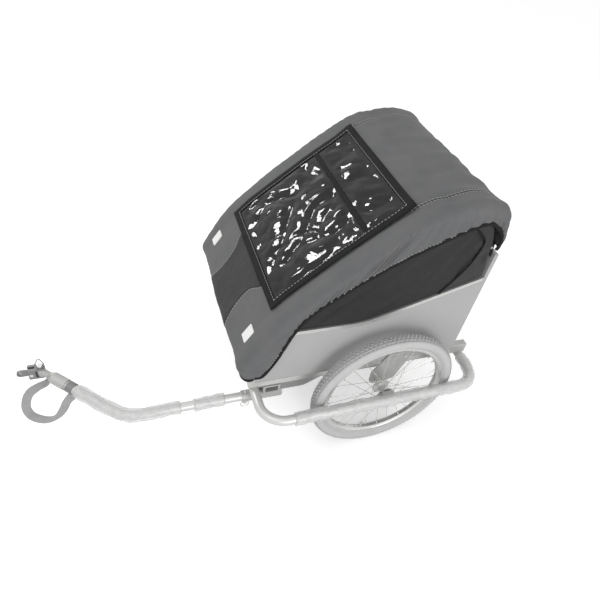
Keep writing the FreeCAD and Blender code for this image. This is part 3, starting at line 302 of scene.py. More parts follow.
# Silver powder coat on steel tube: satin, with the fine orange peel of baked powder.
SILVER_COAT = Finish("silver_powder_coat", "#D6D6D4", "#C2C2C0", 0.36, metallic=0.35,
                     layers=(Layer(Relief.GRAIN, 5.0, 0.05),))
# Pressed steel plate under the same coat, duller where it was handled.
PLATE_COAT = Finish("silver_coated_plate", "#BEBEBC", "#A6A6A4", 0.45, metallic=0.4, mottle_mm=30,
                    layers=(Layer(Relief.GRAIN, 4.0, 0.08),))
# Phosphated steel of the forged hitch pieces: mid grey as the photograph shows it, half matt.
PHOSPHATE = Finish("phosphated_steel", "#868686", "#747474", 0.42, metallic=0.3, mottle_mm=14,
                    layers=(Layer(Relief.GRAIN, 3.0, 0.08),))
# Anodised aluminium: rolled edge strips, rims and hubs, soft satin glare.
ANODISED = Finish("anodised_aluminium", "#DCDCDA", "#C6C6C4", 0.3, metallic=0.75, mottle_mm=40,
                  layers=(Layer(Relief.GRAIN, 2.5, 0.02),))
# Zinc-plated steel: spokes, pins, nuts and bolts, bright with a faint bloom.
ZINC = Finish("zinc_plated_steel", "#E2E2E0", "#C8C8C6", 0.24, metallic=0.9, mottle_mm=12,
              layers=(Layer(Relief.GRAIN, 3.0, 0.03),))
# Film-faced plywood: grey phenolic film, matt, with the faint cloud of the veneer below it.
FILM_PLY = Finish("film_faced_plywood", "#A8A8A8", "#9E9E9E", 0.55, mottle_mm=120,
                  layers=(Layer(Relief.GRAIN, 2.2, 0.05), Layer(Relief.GRAIN, 60.0, 0.25)))
# Grey rubber: moulded tyre wall, dull, a little chalky.
RUBBER = Finish("grey_tyre_rubber", "#B8B8B8", "#ADADAD", 0.82, mottle_mm=60,
                layers=(Layer(Relief.GRAIN, 2.5, 0.1),))
# Vacuum-formed ABS: grey foot well with a leather-like moulded grain.
ABS_WELL = Finish("vacuum_formed_abs", "#9C9C9C", "#929292", 0.5, mottle_mm=50,
                  layers=(Layer(Relief.CELLS, 3.5, 0.2),))
# Injection-moulded nylon: reflector bases, hoops, buckles.
NYLON = Finish("moulded_nylon", "#222223", "#2C2C2E", 0.4, mottle_mm=20,
               layers=(Layer(Relief.GRAIN, 1.8, 0.06),))
# Coated polyester canvas: a plain weave, drawn at 3.4 mm so that it shows.
CANVAS = Finish("coated_polyester_canvas", "#676768", "#595A5B", 0.66, mottle_mm=90, sheen=0.03, shine=0.28,
                coords=Coords.CLOTH,
                layers=(Layer(Relief.WEAVE, 3.4, 0.22), Layer(Relief.GRAIN, 26.0, 0.8)))
# The same canvas in a darker dye, for the panel in the front.
DARK_CANVAS = Finish("dark_polyester_canvas", "#3C3C3D", "#333334", 0.7, mottle_mm=70, sheen=0.03,
                     shine=0.25, coords=Coords.CLOTH,
                     layers=(Layer(Relief.WEAVE, 3.4, 0.22), Layer(Relief.GRAIN, 22.0, 0.7)))
# Nylon screen cloth: thin, dark and slightly glossy on its folds.
SCREEN_CLOTH = Finish("nylon_screen_cloth", "#1A1A1B", "#242425", 0.45, mottle_mm=45, sheen=0.02, shine=0.28,
                      coords=Coords.CLOTH,
                      layers=(Layer(Relief.WEAVE, 2.6, 0.15), Layer(Relief.GRAIN, 18.0, 0.7)))
# Lining cloth of the rear gussets, a tone lighter than the screens.
GUSSET_CLOTH = Finish("polyester_lining", "#2E2E2F", "#363637", 0.62, mottle_mm=40, sheen=0.03, shine=0.3,
                      coords=Coords.CLOTH,
                      layers=(Layer(Relief.WEAVE, 2.8, 0.15),))
# Brushed polyester over foam on the seats: soft, with a low nap.
SEAT_CLOTH = Finish("brushed_seat_cloth", "#2C2C2F", "#37373A", 0.85, mottle_mm=35, sheen=0.3,
                    layers=(Layer(Relief.GRAIN, 2.4, 0.2), Layer(Relief.GRAIN, 30.0, 0.8)))
# Polypropylene webbing of the safety strap: ribbed every 3 mm.
STRAP_WEB = Finish("polypropylene_webbing", "#A4A4A4", "#8E8E8E", 0.66, mottle_mm=18, sheen=0.1,
                   coords=Coords.CLOTH, layers=(Layer(Relief.RIBS, 3.0, 0.35),))
# Darker webbing of the same make for the harness.
HARNESS_WEB = Finish("harness_webbing", "#4A4A4C", "#3C3C3E", 0.66, mottle_mm=18, sheen=0.1,
                     coords=Coords.CLOTH, layers=(Layer(Relief.RIBS, 3.0, 0.35),))
# Grosgrain binding tape, black, folded over each raw edge.
TAPE = Finish("grosgrain_tape", "#161617", "#1E1E1F", 0.75, mottle_mm=20, shine=0.2,
              coords=Coords.CLOTH, layers=(Layer(Relief.RIBS, 3.0, 0.25),))
# Soft clear PVC: creased from folding, it mirrors the lamps. Its near-black colour is painted shade standing
# in for the dark cabin behind it, which shows through only in part.
PVC_WITH_PAINTED_SHADE = Finish("soft_pvc_painted_shade", "#101011", "#161617", 0.06, spread=0.03, alpha=0.7,
                   mottle_mm=60, layers=(Layer(Relief.GRAIN, 55.0, 0.6),))
# Stretched polyethylene packing film: milky where it overlaps, glossy on its wrinkles.
PACKING = Finish("polyethylene_film", "#F2F2F2", "#BEBEBE", 0.16, spread=0.1, alpha=0.55, mottle_mm=14,
                 coat=0.4, layers=(Layer(Relief.GRAIN, 9.0, 2.2),))
# Moulded acrylic reflector: white, with rows of small prisms behind a glossy face.
ACRYLIC = Finish("moulded_acrylic", "#F2F2F0", "#DEDEDC", 0.16, coat=0.8, mottle_mm=6,
                 layers=(Layer(Relief.CELLS, 3.0, 0.4),))
# Bonded polyester thread, pale against the canvas.
THREAD = Finish("bonded_polyester_thread", "#B6B6B4", "#A4A4A2", 0.6, mottle_mm=5,
                layers=(Layer(Relief.GRAIN, 1.0, 0.05),))

NODE_FINISHES: dict[str, Finish] = {
    "steel_tube": SILVER_COAT, "steel_plate": PLATE_COAT, "dark_steel": PHOSPHATE,
    "aluminium": ANODISED, "bright_steel": ZINC, "panel": FILM_PLY, "tyre": RUBBER,
    "well_plastic": ABS_WELL, "hood_fabric": CANVAS, "insert_fabric": DARK_CANVAS,
    "mesh_fabric": SCREEN_CLOTH, "seat_fabric": SEAT_CLOTH, "webbing": STRAP_WEB,
    "window_film": PVC_WITH_PAINTED_SHADE, "binding": TAPE, "reflector": ACRYLIC, "black_plastic": NYLON,
}


class SmoothLine:
    """A smooth line through given points, read by the distance along it."""

    def __init__(self, points: Sequence[Sequence[float]], steps: int = 24) -> None:
        """Run the line through the points.

        Args:
            points: The points, in mm.
            steps: How finely each stretch is divided.
        """
        knots = np.array(points, float)
        knots = np.vstack([2 * knots[0] - knots[1], knots, 2 * knots[-1] - knots[-2]])
        fine = []
        for i in range(1, len(knots) - 2):
            a, b, c, d = knots[i - 1:i + 3]
            for t in np.linspace(0, 1, steps, endpoint=False):
                bend = 2 * a - 5 * b + 4 * c - d + t * (3 * (b - c) + d - a)
                fine.append(b + 0.5 * t * (c - a + t * bend))
        fine.append(knots[-2])
        self.fine = np.array(fine)
        self.along = run_lengths(self.fine)
        self.length = float(self.along[-1])
        self.knots_at = self.along[::steps]

    def at(self, distance: np.ndarray) -> np.ndarray:
        """Give the points at these distances along the line."""
        columns = [np.interp(distance, self.along, self.fine[:, k]) for k in range(self.fine.shape[1])]
        return np.stack(columns, axis=-1)

    def way(self, distance: np.ndarray) -> np.ndarray:
        """Give the unit direction of the line at these distances."""
        step = self.at(np.asarray(distance) + 3.0) - self.at(np.asarray(distance) - 3.0)
        return step / np.linalg.norm(step, axis=-1, keepdims=True)


def add_object(name: str, points: np.ndarray, faces: list, finish: Finish,
               uvs: np.ndarray | None = None) -> bpy.types.Object:
    """Make a smooth-shaded mesh object in the part's frame.

    Args:
        name: The piece's name.
        points: Its corners in metres.
        faces: Its faces, by corner number.
        finish: What it is made of.
        uvs: The cloth's flat pattern in metres, one pair for each corner.

    Returns:
        The new object.
    """
    mesh = bpy.data.meshes.new(name)
    mesh.from_pydata([tuple(p) for p in np.asarray(points, float)], [], faces)
    mesh.update()
    mesh.shade_smooth()
    if uvs is not None:
        layer = mesh.uv_layers.new(name="cloth")
        corners = np.array([loop.vertex_index for loop in mesh.loops])
        layer.data.foreach_set("uv", np.asarray(uvs, float)[corners].astype(np.float32).ravel())
    mesh.materials.append(finish.material())
    log.info("made %s with %d faces", name, len(mesh.polygons))
    return new_object(name, mesh)


def settle(piece: bpy.types.Object, thickness: float = 0.0, levels: int = 0) -> bpy.types.Object:
    """Point the faces outwards, give a sheet its thickness and smooth it, as a plain mesh.

    Args:
        piece: The mesh to finish.
        thickness: Its wall in metres, half to each side, or 0 for a closed shape.
        levels: How often it is subdivided.

    Returns:
        The same object.
    """
    if thickness:
        wall = piece.modifiers.new("wall", "SOLIDIFY")
        wall.thickness = thickness
        wall.offset = 0
    if levels:
        finer = piece.modifiers.new("finer", "SUBSURF")
        finer.levels = finer.render_levels = levels
    finished = baked(piece)
    piece.data = finished
    shell = bmesh.new()
    shell.from_mesh(finished)
    bmesh.ops.recalc_face_normals(shell, faces=shell.faces)
    shell.to_mesh(finished)
    shell.free()
    finished.shade_smooth()
    return piece


def grid_piece(name: str, points: np.ndarray, uvs: np.ndarray, finish: Finish,
               kept: Callable[[int, int], bool] | None = None) -> bpy.types.Object:
    """Make a sheet from rows of points.

    Args:
        name: The piece's name.
        points: Rows by columns by three, in mm about the axle.
        uvs: Rows by columns by two, in mm of flat cloth.
        finish: What it is made of.
        kept: Says which cells, by row and column, belong to the sheet.

    Returns:
        The sheet, without thickness.
    """
    rows, columns = points.shape[:2]
    used: dict[int, int] = {}
    faces = []
    for i in range(rows - 1):
        for j in range(columns - 1):
            if kept is None or kept(i, j):
                near = i * columns + j
                cell = (near, near + 1, near + columns + 1, near + columns)
                faces.append([used.setdefault(c, len(used)) for c in cell])
    order = list(used)
    flat = in_part(points).reshape(-1, 3)[order]
    cloth = (uvs.reshape(-1, 2) / 1000.0)[order]
    return add_object(name, flat, faces, finish, cloth)


def moving_frames(path: np.ndarray, up: np.ndarray) -> tuple[np.ndarray, np.ndarray]:
    """Carry two side directions along a path without twist.

    Args:
        path: The path's points.
        up: A direction that the first side starts near.

    Returns:
        The two side directions at each point.
    """
    ways = unit_ways(path)
    first = []
    current = np.asarray(up, float)
    for way in ways:
        current = current - way * float(np.dot(current, way))
        current = current / np.linalg.norm(current)
        first.append(current)
    first = np.array(first)
    return first, np.cross(ways, first)


def ringed_faces(rings: int, sides: int) -> list:
    """Give the faces of a closed tube.

    Args:
        rings: How many rings of points it has.
        sides: How many points stand in each ring.

    Returns:
        The quads between the rings, then both ends.
    """
    faces = []
    for i in range(rings - 1):
        for k in range(sides):
            a, b = i * sides + k, i * sides + (k + 1) % sides
            faces.append((a, b, b + sides, a + sides))
    faces.append(list(range(sides))[::-1])
    faces.append(list(range((rings - 1) * sides, rings * sides)))
    return faces


def tube_piece(name: str, path: np.ndarray, radius: Callable[[int, float], float] | float, finish: Finish,
               sides: int = 10, flat: float = 1.0, up: Spot = (0, 0, 1)) -> bpy.types.Object:
    """Make a closed tube round a path.

    Args:
        name: The piece's name.
        path: The middle line in mm about the axle.
        radius: One radius in mm, or a function of the ring and the turn round it.
        finish: What it is made of.
        sides: How many faces go round it.
        flat: How thick it is across its second side, as a share.
        up: Where its first side starts.

    Returns:
        The tube.
    """
    one, two = moving_frames(path, np.array(up, float))
    along = run_lengths(path)
    points, uvs = [], []
    for i in range(len(path)):
        for k in range(sides):
            turn = 2 * math.pi * k / sides
            reach = radius(i, turn) if callable(radius) else radius
            points.append(path[i] + one[i] * reach * math.cos(turn) + two[i] * reach * flat * math.sin(turn))
            uvs.append((along[i] / 1000.0, reach * turn / 1000.0))
    faces = ringed_faces(len(path), sides)
    return settle(add_object(name, in_part(np.array(points)), faces, finish, np.array(uvs)))


TAPE_RING = ((-0.5, -0.3), (-0.46, 0.5), (0.46, 0.5), (0.5, -0.3), (0.46, -0.5), (-0.46, -0.5))
"""The cross-section of tape, in shares of its width and thickness."""


def tape_piece(name: str, path: np.ndarray, across: np.ndarray, width: float, thickness: float,
               finish: Finish) -> bpy.types.Object:
    """Make flat tape or webbing along a path.

    Args:
        name: The piece's name.
        path: The middle line in mm about the axle.
        across: For each point, the direction of the tape's width.
        width: Its width in mm.
        thickness: Its thickness in mm.
        finish: What it is made of.

    Returns:
        The tape, closed all round.
    """
    ways = unit_ways(path)
    side = across - ways * np.sum(across * ways, axis=1, keepdims=True)
    side /= np.linalg.norm(side, axis=1, keepdims=True)
    face = np.cross(ways, side)
    along = run_lengths(path)
    points, uvs = [], []
    for i in range(len(path)):
        for over, high in TAPE_RING:
            points.append(path[i] + side[i] * width * over + face[i] * thickness * high)
            uvs.append((along[i] / 1000.0, width * over / 1000.0))
    faces = ringed_faces(len(path), len(TAPE_RING))
    return settle(add_object(name, in_part(np.array(points)), faces, finish, np.array(uvs)))


def run_tree(piece: bpy.types.Object, tree: bpy.types.NodeTree,
             values: dict[str, Value]) -> bpy.types.Object:
    """Run a Geometry Nodes tree on a piece and keep the result as its plain mesh.

    Args:
        piece: The object that carries the tree.
        tree: The tree.
        values: The tree's inputs, by name.

    Returns:
        The same object, with no modifier left on it.
    """
    maker = piece.modifiers.new("repeat", "NODES")
    maker.node_group = tree
    for item in tree.interface.items_tree:
        if item.in_out == "INPUT" and item.name in values:
            maker[item.identifier] = values[item.name]
    made = baked(piece)
    piece.data = made
    made.shade_smooth()
    log.info("repeated %s: %d faces", piece.name, len(made.polygons))
    return piece


def new_tree(name: str, inputs: dict[str, str]) -> tuple[bpy.types.NodeTree, bpy.types.Node]:
    """Start a Geometry Nodes tree.

    Args:
        name: The tree's name.
        inputs: Its named inputs and their kinds.

    Returns:
        The tree and its input node.
    """
    tree = bpy.data.node_groups.new(name, "GeometryNodeTree")
    tree.interface.new_socket("Geometry", in_out="OUTPUT", socket_type="NodeSocketGeometry")
    for label, kind in inputs.items():
        tree.interface.new_socket(label, in_out="INPUT", socket_type="NodeSocket" + kind)
    return tree, add_node(tree, "NodeGroupInput")


def end_tree(tree: bpy.types.NodeTree, placed: bpy.types.NodeSocket, finish: bpy.types.NodeSocket) -> None:
    """End a tree in real, dressed geometry.

    Args:
        tree: The tree.
        placed: The instances.
        finish: The socket of their material.
    """
    real = add_node(tree, "GeometryNodeRealizeInstances", {"Geometry": placed})
    dressed = add_node(tree, "GeometryNodeSetMaterial", {"Geometry": real.outputs[0], "Material": finish})
    add_node(tree, "NodeGroupOutput", {0: dressed.outputs[0]})


@dataclass
class Stitching:
    """Rows of machine stitches, in metres. Drawn half as long again as real ones, so that each shows."""

    spacing: float = 0.0105
    length: float = 0.0068
    thickness: float = 0.0017
    tree: bpy.types.NodeTree | None = None

    def build_tree(self) -> bpy.types.NodeTree:
        """Build the tree that sets threads along every line of a mesh.

        Returns:
            The tree.
        """
        tree, start = new_tree("stitch_rows", {
            "Lines": "Geometry", "Spacing": "Float", "Length": "Float", "Thickness": "Float",
            "Finish": "Material",
        })
        lines = add_node(tree, "GeometryNodeMeshToCurve", {"Mesh": start.outputs["Lines"]})
        points = add_node(tree, "GeometryNodeResampleCurve", {
            "Curve": lines.outputs[0], "Length": start.outputs["Spacing"],
        }, mode="LENGTH")
        way = add_node(tree, "GeometryNodeInputTangent")
        turn = add_node(tree, "FunctionNodeAlignRotationToVector", {"Vector": way.outputs[0]}, axis="Z")
        thread = add_node(tree, "GeometryNodeMeshIcoSphere", {"Radius": 0.5, "Subdivisions": 2})
        size = add_node(tree, "ShaderNodeCombineXYZ", {
            0: start.outputs["Thickness"], 1: start.outputs["Thickness"], 2: start.outputs["Length"],
        })
        placed = add_node(tree, "GeometryNodeInstanceOnPoints", {
            "Points": points.outputs[0], "Instance": thread.outputs[0],
            "Rotation": turn.outputs[0], "Scale": size.outputs[0],
        })
        end_tree(tree, placed.outputs[0], start.outputs["Finish"])
        return tree

    def sew(self, name: str, rows: list[np.ndarray], body: str, slot: str,
            hold: Callable[[bpy.types.Object], bpy.types.Object] | None = None) -> bpy.types.Object:
        """Sew rows of stitches.

        Args:
            name: The piece's name.
            rows: Each row's points, in mm about the axle.
            body: What it moves with.
            slot: Not used.
            hold: Holds the stitches in another way, where they cross a joint.

        Returns:
            The stitches as one piece.
        """
        if self.tree is None:
            self.tree = self.build_tree()
        points, edges = [], []
        for row in rows:
            first = len(points)
            points.extend(tuple(p) for p in in_part(row))
            edges.extend((first + i, first + i + 1) for i in range(len(row) - 1))
        mesh = bpy.data.meshes.new(name)
        mesh.from_pydata(points, edges, [])
        piece = new_object(name, mesh)
        run_tree(piece, self.tree, {
            "Spacing": self.spacing, "Length": self.length, "Thickness": self.thickness,
            "Finish": THREAD.material(),
        })
        if hold is None:
            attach(piece, body)
        else:
            hold(piece)
        return piece


@dataclass
class Ring:
    """Small blocks or studs that repeat round a wheel."""

    count: int
    radius: float
    across: float
    size: Spot
    start: float = 0.0


@dataclass
class Wheels:
    """What the two wheels carry beyond their turned parts, in mm."""

    track_half: float = 366.0
    axle_height: float = 248.0
    spoke_pitch: float = 90 / 7
    nipples_in_a_row: int = 14
    nipple_at: float = 189.5
    nipple_across: float = 3.0
    nipple_size: Spot = (3.9, 3.9, 10.0)
    tread_rows: tuple[Ends, ...] = ((-15.0, 243.2), (-7.6, 246.6), (0.0, 247.9), (7.6, 246.6), (15.0, 243.2))
    blocks_in_a_row: int = 104
    block_size: Spot = (10.5, 5.6, 1.8)
    block_shift: float = 1.7

    def ring_tree(self, studs: bool) -> bpy.types.NodeTree:
        """Build the tree that sets pieces round a ring.

        Args:
            studs: Round studs rather than square blocks.

        Returns:
            The tree.
        """
        tree, start = new_tree("studs_round_a_ring" if studs else "blocks_round_a_ring", {
            "Lines": "Geometry", "Count": "Int", "Radius": "Float", "Size": "Vector", "Start": "Vector",
            "Centre": "Vector", "Finish": "Material",
        })
        ring = add_node(tree, "GeometryNodeMeshCircle", {
            "Vertices": start.outputs["Count"], "Radius": start.outputs["Radius"],
        })
        turned = add_node(tree, "GeometryNodeTransform", {
            "Geometry": ring.outputs[0], "Rotation": start.outputs["Start"],
        })
        upright = add_node(tree, "GeometryNodeTransform", {
            "Geometry": turned.outputs[0], "Rotation": (math.pi / 2, 0, 0),
        })
        out = add_node(tree, "GeometryNodeInputPosition")
        turn = add_node(tree, "FunctionNodeAlignRotationToVector", {"Vector": out.outputs[0]}, axis="Z")
        keep = add_node(tree, "FunctionNodeAlignRotationToVector", {
            "Rotation": turn.outputs[0], "Vector": (0.0, 1.0, 0.0),
        }, axis="Y", pivot_axis="Z")
        if studs:
            item = add_node(tree, "GeometryNodeMeshCylinder", {"Vertices": 8, "Radius": 0.5, "Depth": 1.0})
        else:
            item = add_node(tree, "GeometryNodeMeshCube", {"Size": (1.0, 1.0, 1.0)})
        placed = add_node(tree, "GeometryNodeInstanceOnPoints", {
            "Points": upright.outputs[0], "Instance": item.outputs[0],
            "Rotation": keep.outputs[0], "Scale": start.outputs["Size"],
        })
        moved = add_node(tree, "GeometryNodeTransform", {
            "Geometry": placed.outputs[0], "Translation": start.outputs["Centre"],
        })
        end_tree(tree, moved.outputs[0], start.outputs["Finish"])
        return tree

    def lay(self, name: str, tree: bpy.types.NodeTree, ring: Ring, side: int,
            finish: Finish) -> bpy.types.Object:
        """Lay one ring of pieces on a wheel.

        Args:
            name: The piece's name.
            tree: The tree that lays it.
            ring: Its sizes in mm.
            side: 1 for the left wheel, -1 for the right.
            finish: What it is made of.

        Returns:
            The ring.
        """
        piece = new_object(name, bpy.data.meshes.new(name))
        centre = in_part(np.array([0.0, self.track_half * side + ring.across, self.axle_height]))
        return run_tree(piece, tree, {
            "Count": ring.count, "Radius": ring.radius / 1000.0,
            "Size": [v / 1000.0 for v in ring.size], "Start": (0.0, 0.0, math.radians(ring.start)),
            "Centre": [float(v) for v in centre], "Finish": finish.material(),
        })

    def build(self) -> None:
        """Add spoke nipples and tread blocks to both wheels."""
        studs = self.ring_tree(True)
        blocks = self.ring_tree(False)
        for name, side in (("left", 1), ("right", -1)):
            body = "wheel_" + name
            for number, across in enumerate((self.nipple_across, -self.nipple_across)):
                start = (number + 0.5) * self.spoke_pitch
                ring = Ring(self.nipples_in_a_row, self.nipple_at, across, self.nipple_size, start)
                piece = self.lay(f"nipples_{name}_{number}", studs, ring, side, ZINC)
                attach(piece, body)
            for number, (across, radius) in enumerate(self.tread_rows):
                shift = 0.0 if number % 2 else self.block_shift
                ring = Ring(self.blocks_in_a_row, radius, across, self.block_size, shift)
                piece = self.lay(f"tread_{name}_{number}", blocks, ring, side, RUBBER)
                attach(piece, body)


class HoodShape:
    """The hood's surface: over the ridge, round its long edges and down both sides.

    A place on it is a distance along the ridge from the front hem, and a distance
    across it from the middle, both in mm of cloth. Past the rounded edge, the last
    BAND mm of the second reach down to the side edge, however long the side is.

    Along each long edge a pad starts PAD_FROM mm from the middle, PAD_WIDE mm wide,
    behind a seam. SAG, SKIRT and DRAPE are how far the cloth sinks behind the window,
    stands out at the front hem, and waves over the rear.
    """

    RIDGE = ((452, 354), (460, 376), (458, 412), (367, 553), (220, 690), (-4, 867), (-89, 897),
             (-158, 910), (-218, 903), (-256, 880), (-275, 800), (-270, 762))
    EDGE = ((424, 361), (399, 366), (366, 425), (318, 536), (257, 610), (90, 724), (-59, 802),
            (-141, 838), (-200, 853), (-240, 830), (-264, 795), (-257, 762))
    HALF = 318.0
    EDGE_RADIUS = 31.0
    BAND = 60.0
    PAD_FROM = 243.0
    PAD_WIDE = 100.0
    PAD_HIGH = 5.0
    SEAM_WIDE = 4.5
    SEAM_DEEP = 2.2
    SAG = 5.0
    SKIRT = 6.0
    DRAPE = 6.5

    def __init__(self) -> None:
        """Run both lines and note where the flat top ends."""
        self.ridge = SmoothLine(self.RIDGE)
        self.edge = SmoothLine(self.EDGE)
        self.flat = self.HALF - self.EDGE_RADIUS
        self.arc_end = self.flat + self.EDGE_RADIUS * math.pi / 2
        self.reach = self.arc_end + self.BAND

    def corner(self, number: int) -> float:
        """Give the distance along the ridge of one of its corners."""
        return float(self.ridge.knots_at[number])

    @lru_cache(maxsize=4096)
    def section(self, along: float) -> tuple[np.ndarray, np.ndarray, np.ndarray, float]:
        """Give the hood's cross-section at one distance along the ridge.

        Args:
            along: Distance from the front hem.

        Returns:
            Its top, the way out of the cloth there, the way down its side, and how far down that goes.
        """
        top = self.ridge.at(along)
        low = self.edge.at(np.interp(along, self.ridge.knots_at, self.edge.knots_at))
        way = self.ridge.way(along)
        drop = low - top
        length = float(np.linalg.norm(drop))
        middle = np.array([top[0], 0.0, top[1]])
        out = np.array([way[1], 0.0, -way[0]])
        down = np.array([drop[0], 0.0, drop[1]]) / length
        return middle, out, down, length

    def point(self, along: float, across: float, lift: float = 0.0) -> np.ndarray:
        """Give one point of the surface.

        Args:
            along: Distance from the front hem.
            across: Distance from the middle, left positive.
            lift: Height over the surface.

        Returns:
            The point in mm about the axle.
        """
        middle, out, down, length = self.section(float(along))
        side = 1.0 if across >= 0 else -1.0
        far = abs(across)
        round_down = min(self.EDGE_RADIUS, 0.8 * length)
        if far <= self.flat:
            return middle + (0, across, 0) + out * lift
        if far <= self.arc_end:
            turn = (far - self.flat) / self.EDGE_RADIUS
            y = side * (self.flat + (self.EDGE_RADIUS + lift) * math.sin(turn))
            sunk = down * round_down * (1 - math.cos(turn))
            return middle + (0, y, 0) + sunk + out * lift * math.cos(turn)
        share = (far - self.arc_end) / self.BAND
        depth = round_down + share * (length - round_down)
        return middle + (0, side * (self.HALF + lift), 0) + down * depth

    def fullness(self, along: float, across: float) -> float:
        """Give the cloth's height over the bare surface: padding, ruffles, sag and creases.

        Args:
            along: Distance from the front hem.
            across: Distance from the middle.

        Returns:
            The height in mm.
        """
        far = abs(across)
        rear = ease(along, self.corner(3), self.corner(7))
        pad_share = min(1.0, max(0.0, (far - self.PAD_FROM) / self.PAD_WIDE))
        pad = self.PAD_HIGH * math.sin(math.pi * pad_share)
        seam = -self.SEAM_DEEP * math.exp(-((far - self.PAD_FROM) / self.SEAM_WIDE) ** 2)
        seam *= ease(along, self.corner(4), self.corner(5))
        sag = -self.SAG * ease(far, 240, 120) if far < 240 else 0.0
        sag *= ease(along, self.corner(5), self.corner(6)) * (1 - ease(along, self.corner(7), self.corner(8)))
        down = ease(far, 270, self.reach)
        wander = 9 * ripple((along, across, 0), 70, 3.1)
        ruffle = math.sin((along + wander) / (6.4 - 1.0 * rear) + 4.0 * ripple((along, 0, 0), 62, 7.0))
        ruffle *= (2.0 + 3.6 * rear) * down * (0.6 + 0.4 * ripple((along, across, 0), 120, 5.0))
        ruffle *= 1 - 0.8 * ease(far, self.reach - 22, self.reach)
        skirt = self.SKIRT * ease(far, self.flat, 0) * math.exp(-((along - self.corner(1)) / 60) ** 2)
        cloth = 1.8 * ripple((along, across, 0), 85, 1.0) + 0.8 * ripple((along, across, 0), 24, 2.0)
        drape = self.DRAPE * ease(along, self.corner(5), self.corner(6))
        drape *= ripple((along * 0.3, across, 0), 48, 6.0)
        return pad + seam + sag + ruffle + skirt + cloth + drape * (1 - down)

    def cloth(self, along: float, across: float, lift: float = 0.0) -> np.ndarray:
        """Give one point of the cloth itself, lifted by so much."""
        return self.point(along, across, self.fullness(along, across) + lift)

    def sheet(self, alongs: Sequence[float], acrosses: Sequence[float],
              height: Callable[[float, float], float]) -> tuple[np.ndarray, np.ndarray]:
        """Lay a grid on the surface.

        Args:
            alongs: Distances along the ridge.
            acrosses: Distances across it.
            height: The height over the bare surface at each place.

        Returns:
            The points, and their flat pattern, both in mm.
        """
        points = np.array([[self.point(s, v, height(s, v)) for v in acrosses] for s in alongs])
        uvs = np.array([[(s, v) for v in acrosses] for s in alongs], float)
        return points, uvs


